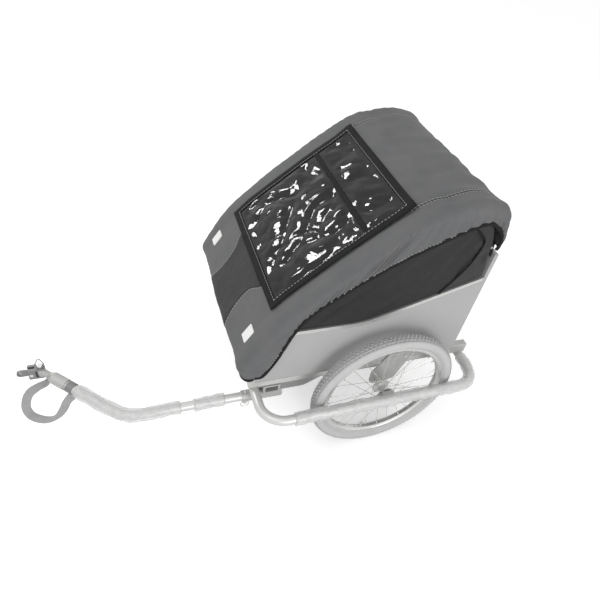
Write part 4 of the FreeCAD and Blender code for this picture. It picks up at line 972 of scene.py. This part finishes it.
@dataclass
class Hood:
    """The hood's cloth: canopy, front insert, edge binding, seams and screens, in mm.

    Each sheet's flat size and area is that of its pattern's outline, in metres, before
    padding, ruffles and folds.
    """

    shape: HoodShape
    stitching: Stitching
    wall: float = 2.0
    insert_half: float = 118.0
    window_half: float = 205.0
    window_inset: float = 42.0
    binding_radius: float = 6.5
    hem_radius: float = 2.4
    screen_at: float = 303.0
    screen_top: tuple[Ends, ...] = (
        (318, 562), (257, 630), (101, 732), (-59, 815), (-183, 862), (-226, 836), (-250, 775),
    )
    screen_low: tuple[Ends, ...] = (
        (322, 527), (240, 524), (100, 527), (-40, 562), (-160, 610), (-220, 636), (-257, 653),
    )
    piping: tuple[Ends, ...] = (
        (-99, 836), (-164, 830), (-205, 801), (-219, 775), (-202, 710), (-165, 649), (-126, 600),
    )
    gusset_rows: tuple[Ends, ...] = (
        (-268.0, 766.0), (-266.0, 757.0), (-269.0, 747.0), (-272.5, 738.0), (-273.0, 728.0), (-272.0, 718.0),
    )
    gusset_half: float = 296.0
    hem_inset: float = 6.5
    seam_gap: float = 4.0
    piping_steps: int = 60

    def acrosses(self) -> np.ndarray:
        """Give the grid's lines across the hood, closest where it is rounded."""
        shape = self.shape
        half = np.concatenate([
            np.linspace(0, self.window_half, 15), np.linspace(self.window_half, shape.flat, 12)[1:],
            np.linspace(shape.flat, shape.arc_end, 10)[1:], np.linspace(shape.arc_end, shape.reach, 12)[1:],
        ])
        return np.concatenate([-half[:0:-1], half])

    def canopy(self) -> None:
        """Make the canopy as one continuous curved sheet with its window cut out, then bind its edge."""
        shape = self.shape
        cut_low = shape.corner(3) + self.window_inset
        cut_high = shape.corner(5) - self.window_inset
        alongs = np.concatenate([
            np.linspace(0, cut_low, 62), np.linspace(cut_low, cut_high, 110)[1:],
            np.linspace(cut_high, shape.ridge.length, 120)[1:],
        ])
        acrosses = self.acrosses()
        points, uvs = shape.sheet(alongs, acrosses, shape.fullness)

        def kept(i: int, j: int) -> bool:
            along = (alongs[i] + alongs[i + 1]) / 2
            across = abs(acrosses[j] + acrosses[j + 1]) / 2
            return not (cut_low < along < cut_high and across < self.window_half)

        canopy = settle(grid_piece("canopy", points, uvs, CANVAS, kept), self.wall / 1000)
        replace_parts(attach(canopy, "hood"), "hood_canopy")
        for name, line in (("left", points[:, -1]), ("right", points[:, 0]),
                           ("front", points[0]), ("rear", points[-1])):
            radius = self.hem_radius if name == "rear" else self.binding_radius
            tape = tube_piece("hood_binding_" + name, line, radius, TAPE, 8, 0.6)
            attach(tape, "hood")
        rear = [s for s in alongs if s >= shape.corner(5) - 20]
        hem = shape.reach - self.hem_inset
        rows = [np.array([shape.cloth(s, side * hem, 1.2) for s in alongs]) for side in (-1, 1)]
        for at in (shape.PAD_FROM - self.seam_gap, shape.PAD_FROM + self.seam_gap):
            rows += [np.array([shape.cloth(s, side * at, 1.2) for s in rear]) for side in (-1, 1)]
        for name, side in (("left", 1), ("right", -1)):
            line = np.array([shape.cloth(s, side * shape.PAD_FROM, 0.9) for s in rear])
            wide = np.tile(np.array([0.0, 1.0, 0.0]), (len(rear), 1))
            seam = tape_piece("hood_seam_" + name, line, wide, 3.4, 1.4, TAPE)
            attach(seam, "hood")
        for at in (10.0, 17.0):
            rows.append(np.array([shape.cloth(shape.ridge.length - at, v, 1.2) for v in acrosses]))
        self.stitching.sew("hood_stitches", rows, "hood", "hood_fabric")

    def insert(self) -> None:
        """Make the dark panel sewn into the hood's front."""
        shape = self.shape
        low, high = shape.corner(2) - 26, shape.corner(3) - 4
        alongs = np.linspace(low, high, 44)
        shares = np.linspace(-1, 1, 44)
        halves = {}
        for s in alongs:
            rise = (s - low) / (high - low)
            waist = 0.98 - 0.2 * math.sin(math.pi * rise)
            halves[s] = self.insert_half * (waist + 0.14 * ease(rise, 0.75, 1.0))
        points = np.array([[shape.cloth(s, halves[s] * k, 1.7) for k in shares] for s in alongs])
        uvs = np.array([[(s, halves[s] * k) for k in shares] for s in alongs])
        panel = settle(grid_piece("front_insert", points, uvs, DARK_CANVAS), 0.0012)
        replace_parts(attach(panel, "hood"), "hood_insert")
        rows = [np.array([shape.cloth(s, side * (halves[s] + 5), 1.4) for s in alongs]) for side in (-1, 1)]
        self.stitching.sew("insert_stitches", rows, "hood", "hood_fabric")

    def screen(self, name: str, side: int) -> None:
        """Make one side screen with its piped edge and the gusset behind it.

        Args:
            name: "left" or "right".
            side: 1 for the left, -1 for the right.
        """
        top = SmoothLine(self.screen_top)
        low = SmoothLine(self.screen_low)
        pipe = SmoothLine(self.piping)
        shares = np.linspace(0, 1, 110)
        rises = np.linspace(0, 1, 40)
        points = np.zeros((len(shares), len(rises), 3))
        uvs = np.zeros((len(shares), len(rises), 2))
        knots = np.arange(len(self.screen_top))
        for i, share in enumerate(shares):
            a = low.at(np.interp(share * knots[-1], knots, low.knots_at))
            b = top.at(np.interp(share * knots[-1], knots, top.knots_at))
            for j, rise in enumerate(rises):
                x, z = a + (b - a) * rise
                ends = ease(share, 0.0, 0.12) * (1 - ease(share, 0.93, 1.0))
                slack = math.sin(math.pi * rise) * ends
                fold = crease((x + 0.8 * z, 0, z * 0.5), 80, 4.0 + side) - 0.5
                fold += 0.5 * (crease((x - z, 0, 0.4 * z), 42, 9.0) - 0.5)
                points[i, j] = (x, side * (self.screen_at - slack * (4.5 + 6.0 * fold)), z)
                uvs[i, j] = (x, z)
        cloth = grid_piece("side_screen_" + name, points, uvs, SCREEN_CLOTH)
        cloth.data.materials.append(GUSSET_CLOTH.material())
        line = pipe.fine[pipe.fine[:, 1].argsort()]
        for face in cloth.data.polygons:
            x = face.center.x * 1000 - AXLE_X
            if x < np.interp(face.center.z * 1000, line[:, 1], line[:, 0]):
                face.material_index = 1
        settle(cloth, 0.0012)
        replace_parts(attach(cloth, "hood"), "screen_" + name)
        line = pipe.at(np.linspace(0, pipe.length, self.piping_steps))
        across = np.full(self.piping_steps, side * (self.screen_at + 1.0))
        path = np.stack([line[:, 0], across, line[:, 1]], axis=1)
        cord = tube_piece("screen_piping_" + name, path, 2.8, TAPE, 8)
        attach(cord, "hood")

    def rear_gusset(self) -> None:
        """Close the gap between the hood's rear hem and the rear panel with loose cloth."""
        rows = self.gusset_rows
        acrosses = np.linspace(-self.gusset_half, self.gusset_half, 120)
        points = []
        for k, (x, z) in enumerate(rows):
            free = math.sin(math.pi * k / (len(rows) - 1))
            waves = [2.0 * math.sin(v / 8.5 + 3 * ripple((v, 0, 0), 60)) for v in acrosses]
            points.append([(x + wave * free, v, z) for wave, v in zip(waves, acrosses)])
        points = np.array(points)
        uvs = np.array([[(10.0 * k, v) for v in acrosses] for k in range(len(rows))])
        cloth = settle(grid_piece("rear_gusset", points, uvs, GUSSET_CLOTH), 0.0015)
        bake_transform(cloth)

    def build(self) -> None:
        """Make every piece of the hood."""
        self.canopy()
        self.insert()
        self.screen("left", 1)
        self.screen("right", -1)
        self.rear_gusset()


@dataclass
class Flap:
    """The clear window flap with its bound border and cross band, in mm."""

    shape: HoodShape
    stitching: Stitching
    half: float = 245.0
    border: float = 24.0
    band: float = 8.0
    band_share: float = 0.7
    lift: float = 3.6
    bend: float = 55.0
    film_step: float = 3.6
    tape_step: float = 7.0
    tape_lift: float = 1.5
    stitch_lift: float = 1.2
    stitch_inset: float = 3.0

    def hold(self, piece: bpy.types.Object) -> bpy.types.Object:
        """Bake a piece's place into its mesh. The hinge line along the sewn rear edge is worked out but not
        used, so nothing bends.

        Args:
            piece: A piece of the flap, final but not yet held.

        Returns:
            The same piece.
        """
        sewn = self.shape.corner(5)
        start = tuple(in_part(self.shape.point(sewn - 4, 0)))
        end = tuple(in_part(self.shape.point(sewn - self.bend, 0)))
        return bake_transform(piece)

    def height(self, along: float, across: float) -> float:
        """Give the flap's height over the hood's bare surface: slack waves and raised rear corners."""
        shape = self.shape
        low, high = shape.corner(3), shape.corner(5)
        inside = min(along - low, high - along, self.half - abs(across))
        slack = ease(inside, 0, 90)
        wave = 2.6 * ripple((along, across, 0), 110, 11.0) + 1.2 * ripple((along, across, 0), 45, 12.0)
        corner = 6.0 * ease(along, high - 70, high) * ease(abs(across), 175, self.half)
        return self.lift + 2.0 + shape.fullness(along, across) * (1 - slack) + wave * slack + corner

    def creased(self, along: float, across: float) -> float:
        """Give the clear sheet's height: the flap's own and the creases of folded film."""
        shape = self.shape
        low, high = shape.corner(3), shape.corner(5)
        inside = min(along - low, high - along, self.half - abs(across)) - self.border
        band = low + self.band_share * (high - low)
        loose = ease(inside, 0, 26) * ease(abs(along - band), self.band, self.band + 20)
        folds = 7.0 * (crease((along + 0.4 * across, across, 0), 125, 21.0) - 0.5)
        folds += 2.6 * (crease((along - 0.6 * across, across, 0), 62, 23.0) - 0.5)
        folds += 0.7 * ripple((along, across, 0), 24, 25.0)
        return self.height(along, across) + loose * folds

    def lines(self, low: float, high: float, marks: Sequence[float], step: float) -> np.ndarray:
        """Give grid lines from low to high that pass through every mark."""
        stops = sorted({low, high, *marks})
        parts = [np.linspace(a, b, max(2, round((b - a) / step) + 1))[:-1] for a, b in zip(stops, stops[1:])]
        return np.concatenate(parts + [[high]])

    def build(self) -> None:
        """Make the clear sheet, its binding and its stitches."""
        shape = self.shape
        low, high = shape.corner(3), shape.corner(5)
        middle = low + self.band_share * (high - low)
        along_marks = (low + self.border, middle - self.band, middle + self.band, high - self.border)
        across_marks = (self.border - self.half, self.half - self.border)
        alongs = self.lines(low, high, along_marks, self.film_step)
        acrosses = self.lines(-self.half, self.half, across_marks, self.film_step)
        points, uvs = shape.sheet(alongs, acrosses, self.creased)
        # The clear sheet's near-black colour is painted shade of the cabin behind it.
        clear = settle(grid_piece("window_clear_sheet", points, uvs, PVC_WITH_PAINTED_SHADE), 0.0005)
        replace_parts(self.hold(clear), "window_sheet")

        alongs = self.lines(low, high, along_marks, self.tape_step)
        acrosses = self.lines(-self.half, self.half, across_marks, self.tape_step)

        def height(s: float, v: float) -> float:
            return self.height(s, v) + self.tape_lift

        def sewn(s: float, v: float) -> np.ndarray:
            return shape.point(s, v, height(s, v) + self.stitch_lift)

        def kept(i: int, j: int) -> bool:
            s = (alongs[i] + alongs[i + 1]) / 2
            v = abs(acrosses[j] + acrosses[j + 1]) / 2
            edge = min(s - low, high - s, self.half - v) < self.border
            return edge or abs(s - middle) < self.band

        points, uvs = shape.sheet(alongs, acrosses, height)
        tape = settle(grid_piece("window_border", points, uvs, TAPE, kept), 0.0018)
        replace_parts(self.hold(tape), "window_binding")
        inner = self.half - self.border + self.stitch_inset
        near = low + self.border - self.stitch_inset
        far = high - self.border + self.stitch_inset
        rows = [np.array([sewn(s, v) for s in alongs[3:-3]]) for v in (-inner, inner)]
        rows += [np.array([sewn(s, v) for v in acrosses[3:-3]]) for s in (near, far)]
        self.stitching.sew("window_stitches", rows, "flap", "binding", self.hold)


@dataclass
class Cabin:
    """Seat and back cushions and the harness, in mm."""

    stitching: Stitching
    cap: float = 9.0
    shrink: float = 5.0
    voxel: float = 6.0
    pressure: float = 4.0
    frames: int = 20
    channels: tuple[float, ...] = (-122.0, 0.0, 122.0)
    channel_wide: float = 7.0
    channel_deep: float = 6.0
    strap_width: float = 25.0
    straps_at: tuple[float, ...] = (-165.0, -80.0, 80.0, 165.0)
    strap_steps: int = 60

    def cushion(self, name: str, node: str) -> bpy.types.Object:
        """Fill one cushion from its CAD form.

        Args:
            name: The piece's name.
            node: The CAD node that it stands for.

        Returns:
            The cushion.
        """
        source = frame["nodes"][node]
        shell = bmesh.new()
        shell.from_mesh(source.data)
        bmesh.ops.remove_doubles(shell, verts=shell.verts, dist=0.0002)
        mesh = bpy.data.meshes.new(name)
        shell.to_mesh(mesh)
        shell.free()
        mesh.materials.clear()
        mesh.materials.append(SEAT_CLOTH.material())
        piece = new_object(name, mesh)
        points = np.array([v.co for v in mesh.vertices])
        low, high = points.min(axis=0), points.max(axis=0)
        middle = (low + high) / 2
        share = 1 - 2 * self.shrink / 1000 / (high - low)
        for vertex in mesh.vertices:
            vertex.co = Vector(middle + (np.array(vertex.co) - middle) * share)
        mesher = piece.modifiers.new("mesh", "REMESH")
        mesher.mode = "VOXEL"
        mesher.voxel_size = self.voxel / 1000
        settle(piece)
        self.fill(piece)
        settle(piece, levels=1)
        piece.data.materials.clear()
        piece.data.materials.append(SEAT_CLOTH.material())
        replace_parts(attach(piece, "frame"), node)
        return piece

    def fill(self, piece: bpy.types.Object) -> None:
        """Swell a cushion by cloth pressure, and hold each point near where it began.

        Args:
            piece: The cushion's shell.
        """
        scene = bpy.context.scene
        rest = np.array([v.co for v in piece.data.vertices])
        cloth = piece.modifiers.new("fill", "CLOTH")
        cloth.settings.use_pressure = True
        cloth.settings.uniform_pressure_force = self.pressure
        cloth.settings.quality = 4
        cloth.settings.effector_weights.gravity = 0
        for number in range(1, self.frames + 1):
            scene.frame_set(number)
        swollen = baked(piece)
        scene.frame_set(1)
        moved = np.array([v.co for v in swollen.vertices]) - rest
        far = np.linalg.norm(moved, axis=1, keepdims=True)
        limit = self.cap / 1000
        moved *= np.minimum(1.0, limit / np.maximum(far, 1e-9))
        for vertex, point in zip(piece.data.vertices, rest + moved):
            vertex.co = Vector(point)

    def groove(self, piece: bpy.types.Object) -> None:
        """Press the sewn channels into a cushion, along the trailer."""
        mesh = piece.data
        points = np.empty(3 * len(mesh.vertices))
        normals = np.empty(3 * len(mesh.vertices), np.float32)
        mesh.vertices.foreach_get("co", points)
        mesh.vertex_normals.foreach_get("vector", normals)
        points = points.reshape(-1, 3)
        across = points[:, 1] * 1000
        pull = sum(np.exp(-((across - line) / self.channel_wide) ** 2) for line in self.channels)
        depth = self.channel_deep / 1000 * np.minimum(1.0, pull)
        points -= normals.reshape(-1, 3) * (1, 0, 1) * depth[:, None]
        mesh.vertices.foreach_set("co", points.ravel())
        mesh.update()

    def harness(self) -> None:
        """Make the shoulder webbing with its pads, clips and stitches."""
        low, high = (np.array(c) * 1000 - np.array([AXLE_X, 0, 0]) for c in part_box("harness_straps"))
        straps = []
        rows = []
        wide = np.tile(np.array([0.0, 1.0, 0.0]), (self.strap_steps, 1))
        for number, across in enumerate(self.straps_at):
            share = np.linspace(0, 1, self.strap_steps)
            bow = 5.0 * np.sin(math.pi * share) + 2.0
            x = high[0] + (low[0] - high[0]) * share + bow - 2
            z = low[2] + (high[2] - low[2]) * share
            path = np.stack([x, np.full(self.strap_steps, across), z], axis=1)
            strap = tape_piece(f"harness_strap_{number}", path, wide, self.strap_width, 1.8, HARNESS_WEB)
            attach(strap, "frame")
            straps.append(strap)
            fat = tape_piece(f"harness_pad_{number}", path[26:52] + np.array([4.0, 0, 1.0]), wide[26:52],
                             self.strap_width + 17, 7.0, SEAT_CLOTH)
            bevel = fat.modifiers.new("round", "BEVEL")
            bevel.width = 0.003
            bevel.segments = 3
            settle(fat)
            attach(fat, "frame")
            clip = tape_piece(f"harness_clip_{number}", path[16:21] + np.array([2.4, 0, 0.5]), wide[16:21],
                              self.strap_width + 9, 4.6, NYLON)
            settle(clip, levels=1)
            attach(clip, "frame")
            for edge in (-9.0, 9.0):
                rows.append(path[:16] + np.array([1.6, edge, 0.4]))
        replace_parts(straps[0], "harness_straps")
        self.stitching.sew("harness_stitches", rows, "frame", "webbing")

    def build(self) -> None:
        """Make the cushions and the harness."""
        seat = self.cushion("seat_pad", "seat_cushion")
        back = self.cushion("back_pad", "back_cushion")
        self.groove(seat)
        self.groove(back)
        self.harness()


@dataclass
class PackingFilm:
    """Clear film wound round the tubes for shipping, in mm."""

    radius: float = 17.0
    puff: float = 6.0
    guard_across: float = 415.0
    guard_high: float = 259.0
    towbar_across: float = 272.0
    towbar_high: float = 225.7
    hitch: Spot = (992.0, 87.0, 270.0)
    hitch_way: Spot = (0.738, -0.656, 0.157)

    def wrap(self, name: str, points: Sequence[Spot], seed: float, radius: float) -> None:
        """Wind film along a tube.

        Args:
            name: The piece's name.
            points: The tube's middle line.
            seed: Changes the wrinkles.
            radius: The film's least radius.
        """
        line = SmoothLine(points)
        path = line.at(np.linspace(0, line.length, max(12, int(line.length / 5))))
        step = line.length / len(path)

        def reach(ring: int, turn: float) -> float:
            s = ring * step
            spiral = turn + s / 26.0
            spot = (s, 30 * math.cos(turn), 30 * math.sin(turn))
            lump = 0.5 + 0.5 * math.sin(spiral)
            crumple = crease((spot[0] * 0.8, spot[1], spot[2]), 30, seed)
            return radius + self.puff * (0.45 * crumple + 0.3 * lump + 0.25 * crease(spot, 13, seed + 3))

        film = tube_piece(name, path, reach, PACKING, 28)
        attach(film, "frame")

    def build(self) -> None:
        """Wrap both guard sides and the towbar's two runs."""
        for name, side in (("left", 1), ("right", -1)):
            y = self.guard_across * side
            route = (
                (318, y), (200, y), (0, y), (-150, y), (-268, y),
                (-321, y - 22 * side), (-343, y - 75 * side), (-343, y - 120 * side),
            )
            points = [(*spot, self.guard_high) for spot in route]
            self.wrap("film_guard_" + name, points, 2.0 + side, self.radius)
        straight = [(x, self.towbar_across, self.towbar_high) for x in (500, 540, 590)]
        self.wrap("film_towbar_rear", straight, 6.0, self.radius - 1)
        behind = [(x, self.towbar_across, self.towbar_high) for x in (630, 690, 738)]
        behind.append((781.4, 265.4, 227.3))
        ahead = [tuple(np.array(self.hitch) - np.array(self.hitch_way) * s) for s in (225, 180, 122)]
        self.wrap("film_towbar_front", behind + ahead, 8.0, self.radius)


@dataclass
class HitchStrap:
    """The safety strap: a webbing loop below the hitch, in mm."""

    width: float = 25.0
    thickness: float = 2.2
    faces: Spot = (0.35, 0.9, 0.25)
    line: tuple[Spot, ...] = (
        (975.5, 101.5, 254.8), (984, 102, 233), (1010, 103, 219), (1034, 107, 203), (1049, 111, 173),
        (1054, 116, 140), (1044, 122, 110), (1014, 130, 95), (980, 138, 110), (958, 145, 145),
        (940, 148, 185), (917, 154, 221),
    )

    def build(self) -> None:
        """Make the strap as one loop that turns a little to each side along its length."""
        run = SmoothLine(self.line)
        share = np.linspace(0, 1, 150)
        path = run.at(share * run.length)
        ways = run.way(share * run.length)
        broad = np.cross(ways, np.array(self.faces))
        broad /= np.linalg.norm(broad, axis=1, keepdims=True)
        thin = np.cross(ways, broad)
        turn = 0.75 * np.sin(share * math.pi * 3.0 + 0.6) + 0.2 * np.sin(share * math.pi * 7.0)
        across = broad * np.cos(turn)[:, None] + thin * np.sin(turn)[:, None]
        strap = tape_piece("safety_loop", path, across, self.width, self.thickness, STRAP_WEB)
        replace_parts(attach(strap, "frame"), "safety_strap")


class Studio:
    """Plain floor, soft light and the camera at the photograph's view, in metres."""

    FLOOR_HALF = 40.0
    FLOOR_GLOW = 0.34
    SKY_ON_OBJECT = 0.74
    SENSOR_MM = 36.0
    LENS_MM = 30.34
    SHIFT = (-0.0712, 0.0220)
    PLACE = (0.3586, 1.2297, 1.5223)
    RIGHT = (-0.922, 0.347, 0.172)
    BACK = (0.369, 0.648, 0.667)

    def floor(self) -> None:
        """Lay a pale floor that reads white to the camera and keeps the object's shadow."""
        mesh = bpy.data.meshes.new("studio_floor")
        half = self.FLOOR_HALF
        corners = [(-half, -half, 0), (half, -half, 0), (half, half, 0), (-half, half, 0)]
        mesh.from_pydata(corners, [], [(0, 1, 2, 3)])
        made = bpy.data.materials.new("pale_paper_floor")
        made.use_nodes = True
        tree = made.node_tree
        tree.nodes.clear()
        place = add_node(tree, "ShaderNodeTexCoord").outputs["Object"]
        fibre = add_node(tree, "ShaderNodeTexNoise", {"Vector": place, "Scale": 300.0})
        bump = add_node(tree, "ShaderNodeBump", {"Height": fibre.outputs["Fac"], "Distance": 0.00005})
        paper = add_node(tree, "ShaderNodeBsdfDiffuse", {
            "Color": linear("#F0F0F0"), "Normal": bump.outputs[0],
        })
        rays = add_node(tree, "ShaderNodeLightPath")
        glow = add_node(tree, "ShaderNodeMath", {
            0: rays.outputs["Is Camera Ray"], 1: self.FLOOR_GLOW,
        }, operation="MULTIPLY")
        light = add_node(tree, "ShaderNodeEmission", {"Color": (1, 1, 1, 1), "Strength": glow.outputs[0]})
        both = add_node(tree, "ShaderNodeAddShader", {0: paper.outputs[0], 1: light.outputs[0]})
        add_node(tree, "ShaderNodeOutputMaterial", {"Surface": both.outputs[0]})
        mesh.materials.append(made)
        floor = new_object("studio_floor", mesh)

    def world(self) -> None:
        """Set an even pale sky, pure white behind the object and in what it mirrors."""
        world = bpy.data.worlds.new("studio_world")
        world.use_nodes = True
        tree = world.node_tree
        tree.nodes.clear()
        rays = add_node(tree, "ShaderNodeLightPath")
        seen = add_node(tree, "ShaderNodeMath", {
            0: rays.outputs["Is Camera Ray"], 1: rays.outputs["Is Glossy Ray"],
        }, operation="MAXIMUM")
        seen = add_node(tree, "ShaderNodeMath", {
            0: seen.outputs[0], 1: rays.outputs["Is Transmission Ray"],
        }, operation="MAXIMUM")
        strength = add_node(tree, "ShaderNodeMapRange", {
            "Value": seen.outputs[0], 3: self.SKY_ON_OBJECT, 4: 1.0,
        })
        sky = add_node(tree, "ShaderNodeBackground", {
            "Color": (1, 1, 1, 1), "Strength": strength.outputs[0],
        })
        add_node(tree, "ShaderNodeOutputWorld", {"Surface": sky.outputs[0]})
        bpy.context.scene.world = world

    def lamp(self, name: str, place: Spot, target: Spot, size: float, power: float) -> None:
        """Hang one soft lamp.

        Args:
            name: Its name.
            place: Where it hangs, in metres.
            target: What it points at.
            size: The side of its square face.
            power: Its power in watts.
        """
        data = bpy.data.lights.new(name, "AREA")
        data.size = size
        data.energy = power
        lamp = new_object(name, data)
        lamp.location = place
        lamp.rotation_euler = (Vector(target) - Vector(place)).to_track_quat("-Z", "Y").to_euler()

    def camera(self) -> None:
        """Stand the camera where the photograph was taken."""
        data = bpy.data.cameras.new("photo_camera")
        data.sensor_width = self.SENSOR_MM
        data.lens = self.LENS_MM
        data.shift_x, data.shift_y = self.SHIFT
        camera = new_object("photo_camera", data)
        back = Vector(self.BACK).normalized()
        up = back.cross(Vector(self.RIGHT).normalized()).normalized()
        right = up.cross(back)
        turn = Matrix((right, up, back)).transposed().to_4x4()
        camera.matrix_world = Matrix.Translation(self.PLACE) @ turn
        bpy.context.scene.camera = camera

    def build(self) -> None:
        """Set up the whole studio."""
        self.camera()
        self.floor()
        self.world()
        self.lamp("key_softbox", (1.6, 1.6, 3.0), (-0.3, 0.0, 0.5), 2.2, 18.0)
        self.lamp("window_glare", (2.6, -3.4, 3.0), (-0.3, 0.0, 0.7), 0.9, 62.0)
        self.lamp("side_softbox", (-0.6, 3.6, 1.2), (-0.3, 0.2, 0.4), 2.0, 48.0)
        bpy.context.scene.view_settings.view_transform = "Standard"


def dress_nodes() -> None:
    """Give every CAD node the finish of its material slot."""
    for part in frame["record"]["subparts"]:
        node = frame["nodes"].get(part["node"])
        if node is None:
            continue
        finish = NODE_FINISHES[part["material_slot"]]
        node.data.materials.clear()
        node.data.materials.append(finish.material())
        log.info("dressed %s in %s", part["node"], finish.name)


def main() -> None:
    """Build the trailer's looks in order."""
    logging.basicConfig(level=logging.INFO, format="%(relativeCreated)d ms, %(message)s")
    dress_nodes()
    stitching = Stitching()
    shape = HoodShape()
    Studio().build()
    Hood(shape, stitching).build()
    Flap(shape, stitching).build()
    Cabin(stitching).build()
    Wheels().build()
    PackingFilm().build()
    HitchStrap().build()


if __name__ == "__main__":
    main()
